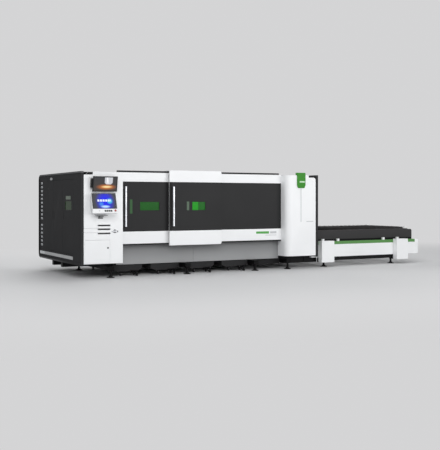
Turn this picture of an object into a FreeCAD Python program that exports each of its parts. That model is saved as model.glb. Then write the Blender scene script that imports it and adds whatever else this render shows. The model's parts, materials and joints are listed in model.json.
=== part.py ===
import FreeCAD, Part
import math
import os

os.makedirs("parts", exist_ok=True)
Vec = FreeCAD.Vector

# Fiber laser cutting machine with an exchange table, millimetres, +Z up.
# Lengths below are measured from the control cabinet's left front edge on the floor:
# X to the right, Y to the back. Every solid is then moved so that the origin is the
# centre of the front left levelling foot.

# ---- enclosure ----
enclosure_depth = 3060.0
enclosure_top = 2190.0
sheet = 20.0  # folded sheet walls with their stiffening
seam = 3.0  # visible gap between neighbouring panels
fit = 0.3  # gap that lets a moving piece slide on its seat

end_cover_depth = 55.0
end_rim = 11.0
end_rim_width = 45.0
end_corner_radius = 130.0
right_cover_depth = 71.0

cabinet_width = 843.0
cabinet_depth = 400.0
cabinet_bottom = 304.0
cabinet_top = 2180.0
cabinet_notch_width = 195.0
cabinet_notch_height = 60.0

opening_width = 4037.0
column_width = 806.0
column_bottom = 302.0
column_edge_radius = 140.0
column_top_radius = 55.0
column_notch_width = 195.0
column_notch_height = 50.0

# ---- doors ----
door_plane = 250.0
door_depth = 40.0
door_bottom = 681.0
door_top = 2188.0
band_bottom_top = 940.0
band_top_bottom = 1994.0
infill_setback = 6.0
infill_depth = 18.0
jamb_width = 62.0
left_door_width = 1095.0
outer_door_advance = 100.0
outer_door_overlap = 25.0
outer_door_width = 1270.0
outer_door_bottom = 629.0
outer_door_top = 2243.0
outer_door_chamfer = 45.0
door_return_depth = 80.0
outer_return_depth = 230.0
return_thickness = 12.0
fixed_panel_left = 3200.0

window_bottom = 1382.0
window_height = 188.0
left_window_offset = 422.0
left_window_width = 452.0
outer_window_offset = 541.0
outer_window_width = 324.0
glass_thickness = 8.0

handle_width = 44.0
handle_depth = 30.0
handle_standoff = 26.0
handle_chamfer = 10.0
handle_bottom = 1044.0
handle_height = 848.0
left_handle_offset = 69.0
outer_handle_offset = 60.0

# ---- pallets and bed ----
pallet_length = 3200.0
pallet_width = 1670.0
pallet_exchange = 4300.0
pallet_table_left = 5850.0
pallet_plate_thickness = 12.0
pallet_plate_height = 72.0
slat_count = 22
slat_thickness = 4.0
slat_height = 100.0
slat_teeth = 8
slat_tooth_depth = 28.0
slat_margin = 60.0
slat_seat_depth = 48.0
ledge_inset = 50.0
end_tube = 60.0
end_tube_step = 4.0
stringer_count = 2
stringer_width = 50.0
stringer_height = 40.0
stop_block_width = 40.0
stop_block_height = 60.0
pallet_wheel_radius = 30.0
pallet_wheel_width = 30.0
pallet_wheels_a_side = 2
wheel_sides = 16  # facets of the wheels and foot pads

upper_rail_top = 790.0
level_gap = 280.0
rail_height = 140.0
rail_width = 80.0
rail_left = 1450.0
rail_right = 9080.0

bed_left = 560.0
bed_right = 5620.0
bed_bottom = 240.0
bed_top = 980.0
bed_beam_width = 180.0
bed_gap = 20.0
bed_deep_bottom = 112.0  # the deeper boxes under the beams beside the exchange end
sole_depth = 90.0
sole_heel = 30.0
sole_width = 120.0
sole_front = 90.0
sole_places = (630.0, 2390.0, 4110.0, 4990.0)
tie_places = (1520.0, 3260.0, 5500.0)
tie_width = 100.0
foot_front_y = 150.0
foot_back_y = 2190.0
foot_radius = 80.0
foot_disc_height = 18.0
foot_stem_radius = 22.0

guide_rail_width = 30.0
guide_rail_height = 26.0
rack_width = 25.0
rack_height = 25.0

# ---- gantry and head ----
gantry_left = 1150.0
gantry_width = 200.0
gantry_height = 260.0
gantry_block_height = 60.0
gantry_block_clear = 5.0
gantry_block_length = 340.0
carriage_y = 620.0
carriage_width = 240.0
carriage_height = 330.0
carriage_depth = 60.0
beam_rail_depth = 15.0
beam_rail_height = 20.0
beam_rail_inset = 50.0
head_radius = 45.0
nozzle_tip = 1000.0
nozzle_tip_radius = 6.0
nozzle_sides = 12
nozzle_height = 120.0
head_height = 470.0

# ---- pallet gate ----
gate_thickness = 20.0
gate_gap = 26.0
gate_travel = 790.0
gate_height = 830.0
gate_lip = 350.0

# ---- exchange table ----
table_beam_front = 270.0
table_beam_depth = 80.0
table_beam_bottom = 230.0
table_beam_top = 603.0
table_right = 9109.0
leg_cover_places = (5956.0, 8271.0)
leg_cover_width = 365.0
leg_cover_advance = 150.0
leg_cover_bottom = 110.0
leg_cover_top = 623.0
table_foot_places = (6150.0, 8240.0)
table_foot_y = 325.0
cross_tube = 100.0
cross_places = (6140.0, 7300.0, 8450.0)
post_width = 60.0
roller_places = (6115.0, 6565.0, 7983.0, 8443.0)
roller_block = 60.0
roller_radius = 22.0
guard_front = 440.0
guard_bottom = 645.0
guard_top = 855.0
guard_right = 9045.0
guard_corner = 30.0
guard_sheet = 12.0

# ---- slag carts ----
cart_count = 4
cart_first = 750.0
cart_pitch = 870.0
cart_width = 670.0
cart_front = 360.0
cart_length = 1850.0
cart_bottom = 96.0
cart_top = 233.0
cart_wall = 4.0
cart_wheel_radius = 42.0
cart_wheel_width = 28.0
cart_wheel_inset = 150.0
cart_slope_width = 110.0
cart_slope_height = 50.0
cart_floor_gap = 1.0
drawbar_offset = 145.0
drawbar_base = 150.0
drawbar_reach = 180.0
drawbar_hinge_height = 110.0
drawbar_section = 14.0
drawbar_eye = 20.0

# ---- left end doors ----
end_door_bottom = 480.0
end_door_top = 2040.0
end_leaf = 18.0
window_leaf_front = 505.0
window_leaf_width = 710.0
pair_front = 1255.0
pair_front_width = 643.0
pair_margin = 20.0  # between the pair of doors and the vent panel
pull_bottom = 1180.0
pull_height = 180.0
pull_width = 16.0
pull_inset = 50.0
end_glass_inset = 112.0
end_glass_width = 443.0
end_glass_bottom = 1396.0
end_glass_height = 189.0
vent_panel_inset = 715.0
vent_panel_width = 560.0
vent_slot_width = 110.0
vent_slot_height = 34.0
vent_slot_inset = 40.0
vent_pitch = 90.0
vent_lower_count = 6
vent_upper_count = 10
vent_lower_bottom = 560.0
vent_upper_bottom = 1165.0
bumper_bottom = 365.0
bumper_height = 70.0
bumper_front = 520.0
bumper_length = 2420.0

# ---- cabinet front ----
cabinet_door_left = 25.0
cabinet_door_width = 532.0
cabinet_door_bottom = 320.0
cabinet_door_height = 470.0
vent_left = 300.0
vent_length = 270.0
vent_heights = (923.0, 1009.0, 1086.0)
vent_gap = 32.0
isolator_x = 665.0
isolator_z = 965.0
isolator_radius = 36.0
isolator_base = 10.0
isolator_lever = 60.0

monitor_width = 518.0
monitor_height = 308.0
monitor_depth = 42.0
monitor_x = 417.0
monitor_z = 1939.0
monitor_tilt = 10.6
pivot_reach = 62.0
pivot_radius = 10.0
pivot_fit = 0.08
pivot_ear = 60.0
pivot_lug = 30.0
pivot_wall = 16.0
bracket_thickness = 12.0
screen_bezel = 18.0
screen_recess = 4.0

console_width = 518.0
console_height = 415.0
console_depth = 52.0
console_x = 377.0
console_z = 1525.0
console_tilt = 17.0
console_reach = 110.0
console_screen_height = 312.0
console_top_bezel = 10.0
button_half = 11.0
button_proud = 8.0
button_depth = 12.0
button_travel = 4.0
button_count = 4
button_pitch = 42.0
button_first = 5.0
button_drop = 161.0
button_clear = 0.4
stop_x = 214.0
stop_radius = 20.0
stop_stem_half = 11.0
stop_head_height = 14.0
stop_sides = 24
stop_travel = 5.0

# ---- lamp ----
lamp_left = 5153.0
lamp_width = 235.0
lamp_bottom = 1885.0
lamp_top = 2241.0
lamp_proud = 22.0
lamp_cap_depth = 60.0
lamp_taper_width = 28.0
lamp_taper_height = 70.0
light_bar_width = 20.0
light_bar_bottom = 1093.0
light_bar_depth = 8.0
light_bar_proud = 3.0

# ---- panels, tracks and inner pieces ----
rear_panel_count = 3
roof_panel_count = 1
skirt_seam = 2650.0
sill_bottom = 650.0
track_gap = 10.0
rib_width = 20.0
rib_inset = 35.0
header_bottom = 2110.0
header_height = 40.0
drive_margin = 30.0
drive_board = 10.0
drive_count = 4
drive_gap = 16.0
drive_depth = 140.0
laser_width = 480.0
laser_height = 780.0
laser_bearer_front = 1000.0  # in front of the rear beam
laser_bearer_back = 350.0

# ---- worked out from the values above ----
column_left = cabinet_width + opening_width
column_right = column_left + column_width
bed_front = cabinet_depth
enclosure_bottom = bed_bottom + sole_heel
vent_panel_front = enclosure_depth - vent_panel_inset
pair_back_width = vent_panel_front - pair_margin - pair_front - pair_front_width - seam
pallet_front = bed_front + bed_beam_width + bed_gap
pallet_back = pallet_front + pallet_width
pallet_middle = (pallet_front + pallet_back) / 2
rail_front = bed_front + bed_beam_width
left_door_left = cabinet_width + jamb_width
outer_door_left = left_door_left + left_door_width - outer_door_overlap
outer_plane = door_plane - outer_door_advance
datum = Vec(sole_places[0], foot_front_y, 0)


def box(x0, x1, y0, y1, z0, z1):
    """A rectangular block between two corners."""
    return Part.makeBox(x1 - x0, y1 - y0, z1 - z0, Vec(x0, y0, z0))


def mirrored(shapes):
    """The shapes and their mirror images across the pallets' middle plane."""
    plane_point = Vec(0, pallet_middle, 0)
    return shapes + [s.mirror(plane_point, Vec(0, 1, 0)) for s in shapes]


def rounded_wire(corners, lift):
    """A closed wire through (u, v, radius) corners, with an arc at each radius above zero."""
    edges = []
    ends = []
    count = len(corners)
    for i, (u, v, radius) in enumerate(corners):
        here = Vec(u, v, 0)
        back = (Vec(corners[i - 1][0], corners[i - 1][1], 0) - here).normalize()
        ahead = corners[(i + 1) % count]
        onward = (Vec(ahead[0], ahead[1], 0) - here).normalize()
        if radius <= 0:
            ends.append((here, None, here))
            continue
        half = back.getAngle(onward) / 2
        cut = radius / math.tan(half)
        middle = here + (back + onward).normalize() * (radius / math.sin(half) - radius)
        ends.append((here + back * cut, middle, here + onward * cut))
    for i, (start, middle, finish) in enumerate(ends):
        if middle is not None:
            edges.append(Part.Arc(lift(start), lift(middle), lift(finish)).toShape())
        following = ends[(i + 1) % count][0]
        if finish.distanceToPoint(following) > 1e-6:
            edges.append(Part.LineSegment(lift(finish), lift(following)).toShape())
    return Part.Wire(edges)


def slab(axis, corners, low, high):
    """A flat outline of (u, v, radius) corners, drawn across an axis and pulled from low to high."""
    lifts = {
        "x": lambda p: Vec(low, p.x, p.y),
        "y": lambda p: Vec(p.x, low, p.y),
        "z": lambda p: Vec(p.x, p.y, low),
    }
    pulls = {"x": Vec(high - low, 0, 0), "y": Vec(0, high - low, 0), "z": Vec(0, 0, high - low)}
    return Part.Face(rounded_wire(corners, lifts[axis])).extrude(pulls[axis])


def plate(axis, u0, u1, v0, v1, low, high, radius=0.0):
    """A flat plate with the same radius at its four corners."""
    corners = [(u0, v0, radius), (u1, v0, radius), (u1, v1, radius), (u0, v1, radius)]
    return slab(axis, corners, low, high)


def many_sided(axis, u, v, radius, sides, low, high):
    """A regular prism about a centre, with a corner straight below it."""
    corners = []
    for i in range(sides):
        angle = 2 * math.pi * i / sides - math.pi / 2
        corners.append((u + radius * math.cos(angle), v + radius * math.sin(angle), 0))
    return slab(axis, corners, low, high)


def tapered(foot_centre, low_radius, high_radius, sides, height):
    """An upright many-sided taper that stands on a point."""
    rings = []
    for radius, rise in ((low_radius, 0), (high_radius, height)):
        ring = []
        for i in range(sides + 1):
            angle = 2 * math.pi * (i % sides) / sides
            ring.append(foot_centre + Vec(radius * math.cos(angle), radius * math.sin(angle), rise))
        rings.append(ring)
    low, high = rings
    faces = [Part.Face(Part.makePolygon(ring)) for ring in rings]
    for i in range(sides):
        faces.append(Part.Face(Part.makePolygon([low[i], low[i + 1], high[i + 1], high[i], low[i]])))
    return Part.Solid(Part.Shell(faces))


def rod(radius, start, finish):
    """A round bar between two points."""
    reach = finish - start
    return Part.makeCylinder(radius, reach.Length, start, reach)


def fused(shapes):
    """One solid from pieces that are welded, cast or folded as one."""
    whole = shapes[0].fuse(shapes[1:]) if len(shapes) > 1 else shapes[0]
    return whole.removeSplitter()


def tilted(shape, pivot, degrees):
    """A copy turned about the X direction through a pivot."""
    copy = shape.copy()
    copy.rotate(pivot, Vec(1, 0, 0), degrees)
    return copy


def save(node, solids):
    """Writes one node, moved to the datum foot."""
    shape = solids[0] if len(solids) == 1 else Part.makeCompound(solids)
    moved = shape.copy()
    moved.translate(datum.negative())
    moved.exportStep("parts/" + node + ".step")


# ---- bed ----
def bed_side_beams():
    """The two long welded beams beside the pallets, with deeper boxes beside the exchange end."""
    beam = box(bed_left, bed_right, bed_front, rail_front, bed_bottom, bed_top)
    half = sole_width / 2
    first, second = sole_places[-2:]
    deep = [
        box(first + half, second - half, bed_front, rail_front, bed_deep_bottom, bed_bottom),
        box(second + half, bed_right, bed_front, rail_front, bed_deep_bottom, bed_bottom),
    ]
    return mirrored([beam] + deep)


def bed_cross_members():
    """Soles that carry the feet, ties between the beams, and the shelf under the laser source."""
    half = sole_width / 2
    low = bed_bottom - sole_depth
    soles = []
    for x in sole_places:
        arm = box(x - half, x + half, sole_front, bed_front, low, bed_bottom)
        back = enclosure_depth - end_corner_radius
        sole = box(x - half, x + half, bed_front, back, low, bed_bottom)
        heel = box(x - half, x + half, mirror_y(bed_front), back, bed_bottom, enclosure_bottom)
        soles.append(fused([arm, sole, heel]))
    ties = []
    for x in tie_places:
        left = x - tie_width / 2
        right = x + tie_width / 2
        ties.append(box(left, right, rail_front, mirror_y(rail_front), bed_bottom, bed_bottom + cross_tube))
    shelf = []
    for y in laser_shelf_places():
        bearer = box(0, sole_places[0] - half, y - half, y + half, low, enclosure_bottom)
        shelf.append(bearer)
    return soles + ties + shelf


def mirror_y(y):
    """The same distance on the other side of the pallets' middle plane."""
    return 2 * pallet_middle - y


def laser_shelf_places():
    """Where the two bearers under the laser source lie."""
    beam = mirror_y(bed_front)
    return (beam - laser_bearer_front, beam - laser_bearer_back)


def foot(x, y, top):
    """A levelling foot: a turned pad on a hexagonal adjusting stem."""
    pad = many_sided("z", x, y, foot_radius, wheel_sides, 0, foot_disc_height)
    stem = many_sided("z", x, y, foot_stem_radius, 6, foot_disc_height, top)
    return fused([pad, stem])


def levelling_feet():
    """Feet under the soles and under the exchange table's beams."""
    low = bed_bottom - sole_depth
    feet = [foot(x, y, low) for x in sole_places for y in (foot_front_y, foot_back_y)]
    tops = (leg_cover_bottom, leg_cover_bottom + post_width / 2)
    front = [foot(x, table_foot_y, top) for x, top in zip(table_foot_places, tops)]
    return feet + mirrored(front)


def x_guide_rails():
    """Linear rails on the beams, with the drive racks beside them."""
    middle = bed_front + bed_beam_width / 2
    rail = slab(
        "x",
        [
            (middle - guide_rail_width / 2, bed_top, 0),
            (middle + guide_rail_width / 2, bed_top, 0),
            (middle + guide_rail_width / 2, bed_top + guide_rail_height, 0),
            (middle - guide_rail_width / 2, bed_top + guide_rail_height, 0),
        ],
        bed_left + tie_width,
        bed_right - tie_width,
    )
    rack_front = rail_front - rack_width
    left = bed_left + tie_width
    right = bed_right - tie_width
    rack = box(left, right, rack_front, rail_front, bed_top, bed_top + rack_height)
    return mirrored([rail, rack])


def pallet_rails():
    """Running rails for both pallet levels, and the chain guards beside them along the table."""
    rails = table_guard()
    for top in (upper_rail_top, upper_rail_top - level_gap):
        rails.append(box(rail_left, rail_right, rail_front, rail_front + rail_width, top - rail_height, top))
    return mirrored(rails)


def table_guard():
    """The chain guard: an upright plate with a clipped corner, and the shelf that carries it."""
    left = column_right + right_cover_depth + seam
    upright = slab(
        "y",
        [
            (left, guard_bottom, 0),
            (guard_right, guard_bottom, 0),
            (guard_right, guard_top - guard_corner, 0),
            (guard_right - guard_corner, guard_top, 0),
            (left, guard_top, 0),
        ],
        guard_front,
        guard_front + guard_sheet,
    )
    shelf_front = guard_front + guard_sheet
    shelf = box(left, guard_right, shelf_front, rail_front, upper_rail_top, upper_rail_top + guard_sheet)
    return [upright, shelf]


# ---- exchange table ----
def table_side_beams():
    """The table's long side covers, with the stripe's step along the top."""
    low = table_beam_front
    left = column_right + right_cover_depth
    beam = slab(
        "x",
        [
            (low, table_beam_bottom, 0),
            (low + table_beam_depth, table_beam_bottom, 0),
            (low + table_beam_depth, table_beam_top, 0),
            (low, table_beam_top, 0),
        ],
        left,
        table_right,
    )
    return mirrored([beam])


def table_underframe():
    """The dark steel frame that carries the rails."""
    inner = table_beam_front + table_beam_depth
    base = table_beam_bottom
    pieces = []
    for x in cross_places:
        pieces.append(box(x, x + cross_tube, inner, mirror_y(inner), base, base + cross_tube))
    posts = []
    for x in cross_places:
        front = rail_front - post_width
        posts.append(box(x, x + cross_tube, front, rail_front, base + cross_tube, upper_rail_top))
    first, second = leg_cover_places
    front = table_beam_front + post_width / 2
    sill = box(first + leg_cover_width, second, front, inner, leg_cover_bottom + post_width / 2, base)
    feet_beams = []
    for x in leg_cover_places:
        right = x + leg_cover_width - sheet
        feet_beams.append(box(x + sheet, right, foot_beam_front(), inner, leg_cover_bottom, base))
    return pieces + mirrored(posts + [sill] + feet_beams)


def foot_beam_front():
    """The front of the short beam inside a leg cover."""
    return table_beam_front - leg_cover_advance + sheet


def table_leg_covers():
    """Folded covers over the table's legs, open below and behind."""
    covers = []
    for x in leg_cover_places:
        front = table_beam_front - leg_cover_advance
        outer = slab(
            "z",
            [
                (x, front, 0),
                (x + leg_cover_width, front, 0),
                (x + leg_cover_width, table_beam_front, 0),
                (x, table_beam_front, 0),
            ],
            leg_cover_bottom,
            leg_cover_top,
        )
        hollow = box(
            x + sheet,
            x + leg_cover_width - sheet,
            front + sheet,
            table_beam_front + 1,
            leg_cover_bottom - 1,
            leg_cover_top - sheet,
        )
        covers.append(outer.cut(hollow))
    return mirrored(covers)


def pallet_guide_rollers():
    """White blocks with dark bolts on the table's side covers."""
    solids = []
    middle = table_beam_front + table_beam_depth / 2
    half = roller_block / 2
    top = table_beam_top + roller_block
    for x in roller_places:
        solids.append(box(x - half, x + half, middle - half, middle + half, table_beam_top, top))
        solids.append(many_sided("z", x, middle, roller_radius, 6, top, top + half))
    return mirrored(solids)


# ---- pallets ----
def slat(x, base):
    """A toothed slat that stands on edge across the pallet."""
    start = pallet_front + ledge_inset
    finish = mirror_y(start)
    top = base + slat_height
    valley = top - slat_tooth_depth
    pitch = (finish - start) / slat_teeth
    corners = [(start, base, 0), (finish, base, 0), (finish, valley, 0)]
    for i in reversed(range(slat_teeth)):
        corners.append((start + (i + 0.5) * pitch, top, 0))
        corners.append((start + i * pitch, valley, 0))
    return slab("x", corners, x - slat_thickness / 2, x + slat_thickness / 2)


def slat_places(left):
    """The even places of the slats along a pallet."""
    span = pallet_length - 2 * (end_tube + slat_margin)
    step = span / (slat_count - 1)
    return [left + end_tube + slat_margin + i * step for i in range(slat_count)]


def pallet_frame(left, low, high, seat):
    """The pallet's welded members: side plates, end tubes, ledges, stringers and corner stops."""
    right = left + pallet_length
    side_inner = pallet_front + pallet_plate_thickness
    ledge_front = pallet_front + ledge_inset
    start = left + end_tube
    finish = right - end_tube
    side = box(left, right, pallet_front, side_inner, low, high)
    ledge = box(start, finish, ledge_front, ledge_front + pallet_plate_thickness, low, seat)
    rail_back = rail_front + rail_width
    tube_top = high - end_tube_step
    stop = box(
        finish,
        right,
        rail_back + seam,
        rail_back + seam + stop_block_width,
        tube_top,
        tube_top + stop_block_height,
    )
    members = mirrored([side, ledge, stop])
    for x in (left, finish):
        members.append(box(x, x + end_tube, side_inner, mirror_y(side_inner), low, tube_top))
    for i in range(stringer_count):
        y = ledge_front + (i + 1) * (mirror_y(ledge_front) - ledge_front) / (stringer_count + 1)
        half = stringer_width / 2
        members.append(box(start, finish, y - half, y + half, seat - stringer_height, seat))
    return members


def pallet_wheels(left, rail_top):
    """The wheels inside the side plates, just clear of the rail."""
    wheels = []
    reach = 3 * end_tube
    spacing = (pallet_length - 2 * reach) / (pallet_wheels_a_side - 1)
    z = rail_top + fit + pallet_wheel_radius
    inner = pallet_front + pallet_plate_thickness
    for i in range(pallet_wheels_a_side):
        x = left + reach + i * spacing
        wheels.append(
            many_sided("y", x, z, pallet_wheel_radius, wheel_sides, inner, inner + pallet_wheel_width)
        )
    return mirrored(wheels)


def pallet(left, rail_top):
    """A pallet: frame, toothed slats on the ledges and stringers, and wheels."""
    low = rail_top + seam
    high = low + pallet_plate_height
    seat = high - slat_seat_depth
    slats = [slat(x, seat) for x in slat_places(left)]
    return pallet_frame(left, low, high, seat) + slats + pallet_wheels(left, rail_top)


def upper_pallet():
    """The pallet that waits on the exchange table."""
    return pallet(pallet_table_left, upper_rail_top)


def lower_pallet():
    """The pallet that lies in the cutting position."""
    return pallet(pallet_table_left - pallet_exchange, upper_rail_top - level_gap)


# ---- enclosure ----
def end_outline(front, back, low, high, radius):
    """The end covers' outline, square at the front and rounded at the back."""
    return [(front, low, 0), (back, low, radius), (back, high, radius), (front, high, 0)]


def end_panel(low, high):
    """A thick end panel between two X values."""
    outline = end_outline(0, enclosure_depth, enclosure_bottom, enclosure_top, end_corner_radius)
    return slab("x", outline, low, high)


def left_end_cover():
    """The left end: a panel with a raised rim and openings for the service doors."""
    panel = end_panel(-end_cover_depth, 0)
    outer = end_outline(0, enclosure_depth, enclosure_bottom, enclosure_top, end_corner_radius)
    inner = end_outline(
        -1,
        enclosure_depth - end_rim_width,
        enclosure_bottom + end_rim_width,
        enclosure_top - end_rim_width,
        end_corner_radius - end_rim_width,
    )
    rim = slab("x", outer, -end_cover_depth - end_rim, -end_cover_depth)
    rim = rim.cut(slab("x", inner, -end_cover_depth - end_rim, -end_cover_depth))
    cover = panel.fuse(rim)
    for front, back in end_openings():
        cover = cover.cut(box(-end_cover_depth - 1, 1, front, back, end_door_bottom, end_door_top))
    return [cover.removeSplitter()]


def end_openings():
    """Front and back edges of the three openings in the left end."""
    pair_back = pair_front + pair_front_width + seam + pair_back_width
    return [
        (window_leaf_front, window_leaf_front + window_leaf_width),
        (pair_front, pair_back),
        (vent_panel_front, vent_panel_front + vent_panel_width),
    ]


def end_leaf_plate(front, back, pull_y):
    """A service door leaf with a slit pull."""
    inner = -end_cover_depth + end_leaf
    leaf = plate("x", front, back, end_door_bottom + seam, end_door_top - seam, -end_cover_depth, inner)
    slit = plate(
        "x",
        pull_y - pull_width / 2,
        pull_y + pull_width / 2,
        pull_bottom,
        pull_bottom + pull_height,
        -end_cover_depth - 1,
        -end_cover_depth + end_leaf / 2,
    )
    return leaf.cut(slit)


def end_window_door():
    """The single service door with a window."""
    back = window_leaf_front + window_leaf_width
    leaf = end_leaf_plate(window_leaf_front + fit, back - seam, back - pull_inset)
    glass_front = window_leaf_front + end_glass_inset
    hole = box(
        -end_cover_depth - 1,
        -end_cover_depth + end_leaf + 1,
        glass_front,
        glass_front + end_glass_width,
        end_glass_bottom,
        end_glass_bottom + end_glass_height,
    )
    return [leaf.cut(hole)]


def end_door_window():
    """The green filter glass in the single service door."""
    glass_front = window_leaf_front + end_glass_inset
    outer = -end_cover_depth + infill_setback
    return [
        box(
            outer,
            outer + glass_thickness,
            glass_front,
            glass_front + end_glass_width,
            end_glass_bottom,
            end_glass_bottom + end_glass_height,
        )
    ]


def end_door_front():
    """The front leaf of the pair."""
    back = pair_front + pair_front_width
    return [end_leaf_plate(pair_front + fit, back, back - pull_inset - seam)]


def end_door_rear():
    """The rear leaf of the pair."""
    front = pair_front + pair_front_width + seam
    return [end_leaf_plate(front, front + pair_back_width - fit, front + pull_inset + seam)]


def end_vent_grille():
    """The slotted vent panel at the back of the left end."""
    front = vent_panel_front
    back = front + vent_panel_width
    outer = -end_cover_depth
    panel = box(outer, outer + end_leaf, front, back, end_door_bottom, end_door_top)
    slots = []
    y = back - vent_slot_inset - vent_slot_width
    for first, count in ((vent_lower_bottom, vent_lower_count), (vent_upper_bottom, vent_upper_count)):
        for i in range(count):
            z = first + i * vent_pitch
            high = z + vent_slot_height
            slots.append(box(outer - 1, outer + end_leaf + 1, y, y + vent_slot_width, z, high))
    return [panel.cut(slots)]


def end_bumper_rail():
    """The pale rail low on the left end."""
    high = bumper_bottom + bumper_height
    back = bumper_front + bumper_length
    return [plate("x", bumper_front, back, bumper_bottom, high, -end_cover_depth - end_rim, -end_cover_depth)]


def pallet_opening():
    """Front, back, bottom and top of the pallet doorway in the right end."""
    margin = bed_gap / 2
    low = upper_rail_top - level_gap - rail_height - bed_gap
    return rail_front - margin, mirror_y(rail_front) + margin, low, upper_rail_top + gate_lip


def right_end_cover():
    """The right end: a panel with the pallet doorway and the gate's guides."""
    outer = column_right + right_cover_depth
    front, back, low, high = pallet_opening()
    cover = end_panel(column_right, outer).cut(box(column_right - 1, outer + 1, front, back, low, high))
    gate_left = column_right - gate_gap - gate_thickness
    edge = front - gate_gap
    guide = box(gate_left - sheet, column_right, edge - 2 * sheet, edge, low, enclosure_top - 5 * sheet)
    gate_right = gate_left + gate_thickness
    groove = box(gate_left - fit, gate_right + fit, edge - sheet, edge + 1, low - 1, enclosure_top)
    guide = guide.cut(groove)
    return [fused([cover] + mirrored([guide]))]


def pallet_gate():
    """The gate that drops over the doorway, narrower below where it passes between the rails."""
    front, back, low, high = pallet_opening()
    gate_left = column_right - gate_gap - gate_thickness
    edge = front - gate_gap - sheet + fit
    raised = gate_travel
    inner = rail_front + rail_width + bed_gap
    shoulder = upper_rail_top + bed_gap + raised
    corners = [
        (edge, shoulder, 0),
        (inner, shoulder, 0),
        (inner, low + raised, 0),
        (mirror_y(inner), low + raised, 0),
        (mirror_y(inner), shoulder, 0),
        (mirror_y(edge), shoulder, 0),
        (mirror_y(edge), low + gate_height + raised, 0),
        (edge, low + gate_height + raised, 0),
    ]
    return [slab("x", corners, gate_left, gate_left + gate_thickness)]


def rear_section(left, right):
    """One rear panel, curved in at the foot to meet the soles."""
    low = enclosure_bottom
    high = enclosure_top - end_corner_radius - end_rim
    inner = enclosure_depth - sheet
    toe = enclosure_depth - end_corner_radius - tie_width
    corners = [
        (inner, high, 0),
        (enclosure_depth, high, 0),
        (enclosure_depth, low, end_corner_radius),
        (toe, low, 0),
        (toe, low + sheet, 0),
        (inner, low + sheet, end_corner_radius - sheet),
    ]
    return slab("x", corners, left, right)


def roof_section(left, right):
    """One roof panel, curved down at the back to meet the rear panels."""
    inner = enclosure_depth - sheet
    low = enclosure_top - end_corner_radius - end_rim
    corners = [
        (cabinet_depth, enclosure_top - sheet, 0),
        (cabinet_depth, enclosure_top, 0),
        (enclosure_depth, enclosure_top, end_corner_radius),
        (enclosure_depth, low, 0),
        (inner, low, 0),
        (inner, enclosure_top - sheet, end_corner_radius - sheet),
    ]
    return slab("x", corners, left, right)


def sections(make, count):
    """Panels of equal width along the enclosure, a seam apart."""
    pitch = column_right / count
    panels = []
    for i in range(count):
        left = i * pitch + (seam / 2 if i > 0 else 0)
        right = (i + 1) * pitch - (seam / 2 if i < count - 1 else 0)
        panels.append(make(left, right))
    return panels


def rear_panels():
    """The rear wall."""
    return sections(rear_section, rear_panel_count)


def roof_panels():
    """The roof."""
    return sections(roof_section, roof_panel_count)


# ---- front of the enclosure ----
def skirt_panels():
    """Two skirt panels under the doors, with a seam between them."""
    front = cabinet_depth - sheet
    first = box(cabinet_width, skirt_seam - seam / 2, front, cabinet_depth, bed_bottom, sill_bottom)
    second = box(skirt_seam + seam / 2, column_left, front, cabinet_depth, bed_bottom, sill_bottom)
    return [first, second]


def door_tracks():
    """The sill, the head track with a rib for each door, and the jamb beside the cabinet."""
    back = door_plane + door_depth
    sill = box(cabinet_width, column_left, door_plane, cabinet_depth, sill_bottom, door_bottom - fit)
    block_front = back + track_gap
    rib_first = block_front + rib_width
    rib_second = outer_plane + outer_return_depth - rib_inset
    inner_top = door_top - return_thickness - fit
    outer_top = outer_door_top - return_thickness - fit
    corners = [
        (block_front, header_bottom, 0),
        (cabinet_depth, header_bottom, 0),
        (cabinet_depth, enclosure_top, 0),
        (rib_second + rib_width, enclosure_top, 0),
        (rib_second + rib_width, outer_top, 0),
        (rib_second, outer_top, 0),
        (rib_second, header_bottom + header_height, 0),
        (rib_first, header_bottom + header_height, 0),
        (rib_first, inner_top, 0),
        (block_front, inner_top, 0),
    ]
    head = slab("x", corners, cabinet_width, column_left)
    jamb_back = cabinet_depth - sheet
    jamb = box(cabinet_width, left_door_left - fit, block_front, jamb_back, door_bottom - fit, header_bottom)
    return [sill, head, jamb]


def door_frame(left, width, plane, low, high, return_depth):
    """A white door: two bands, a thinner back between them, and a return over the track."""
    back = plane + door_depth
    recess = plane + infill_setback + infill_depth
    corners = [(plane, low, 0), (back, low, 0)]
    if return_depth > door_depth:
        corners.append((back, high - return_thickness, 0))
        corners.append((plane + return_depth, high - return_thickness, 0))
        corners.append((plane + return_depth, high, 0))
    else:
        corners.append((back, high, 0))
    corners += [
        (plane, high, 0),
        (plane, band_top_bottom, 0),
        (recess, band_top_bottom, 0),
        (recess, band_bottom_top, 0),
        (plane, band_bottom_top, 0),
    ]
    return slab("x", corners, left, left + width)


def window_block(left, width, front, back):
    """The space a window fills in a door."""
    return box(left, left + width, front, back, window_bottom, window_bottom + window_height)


def infill(left, width, plane):
    """The dark sheet between a door's bands."""
    front = plane + infill_setback
    return box(left, left + width, front, front + infill_depth, band_bottom_top, band_top_bottom)


def window_glass(left, width, plane):
    """A filter glass held in a door's window."""
    front = plane + infill_setback + infill_depth - glass_thickness
    return window_block(left, width, front, front + glass_thickness)


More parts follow.
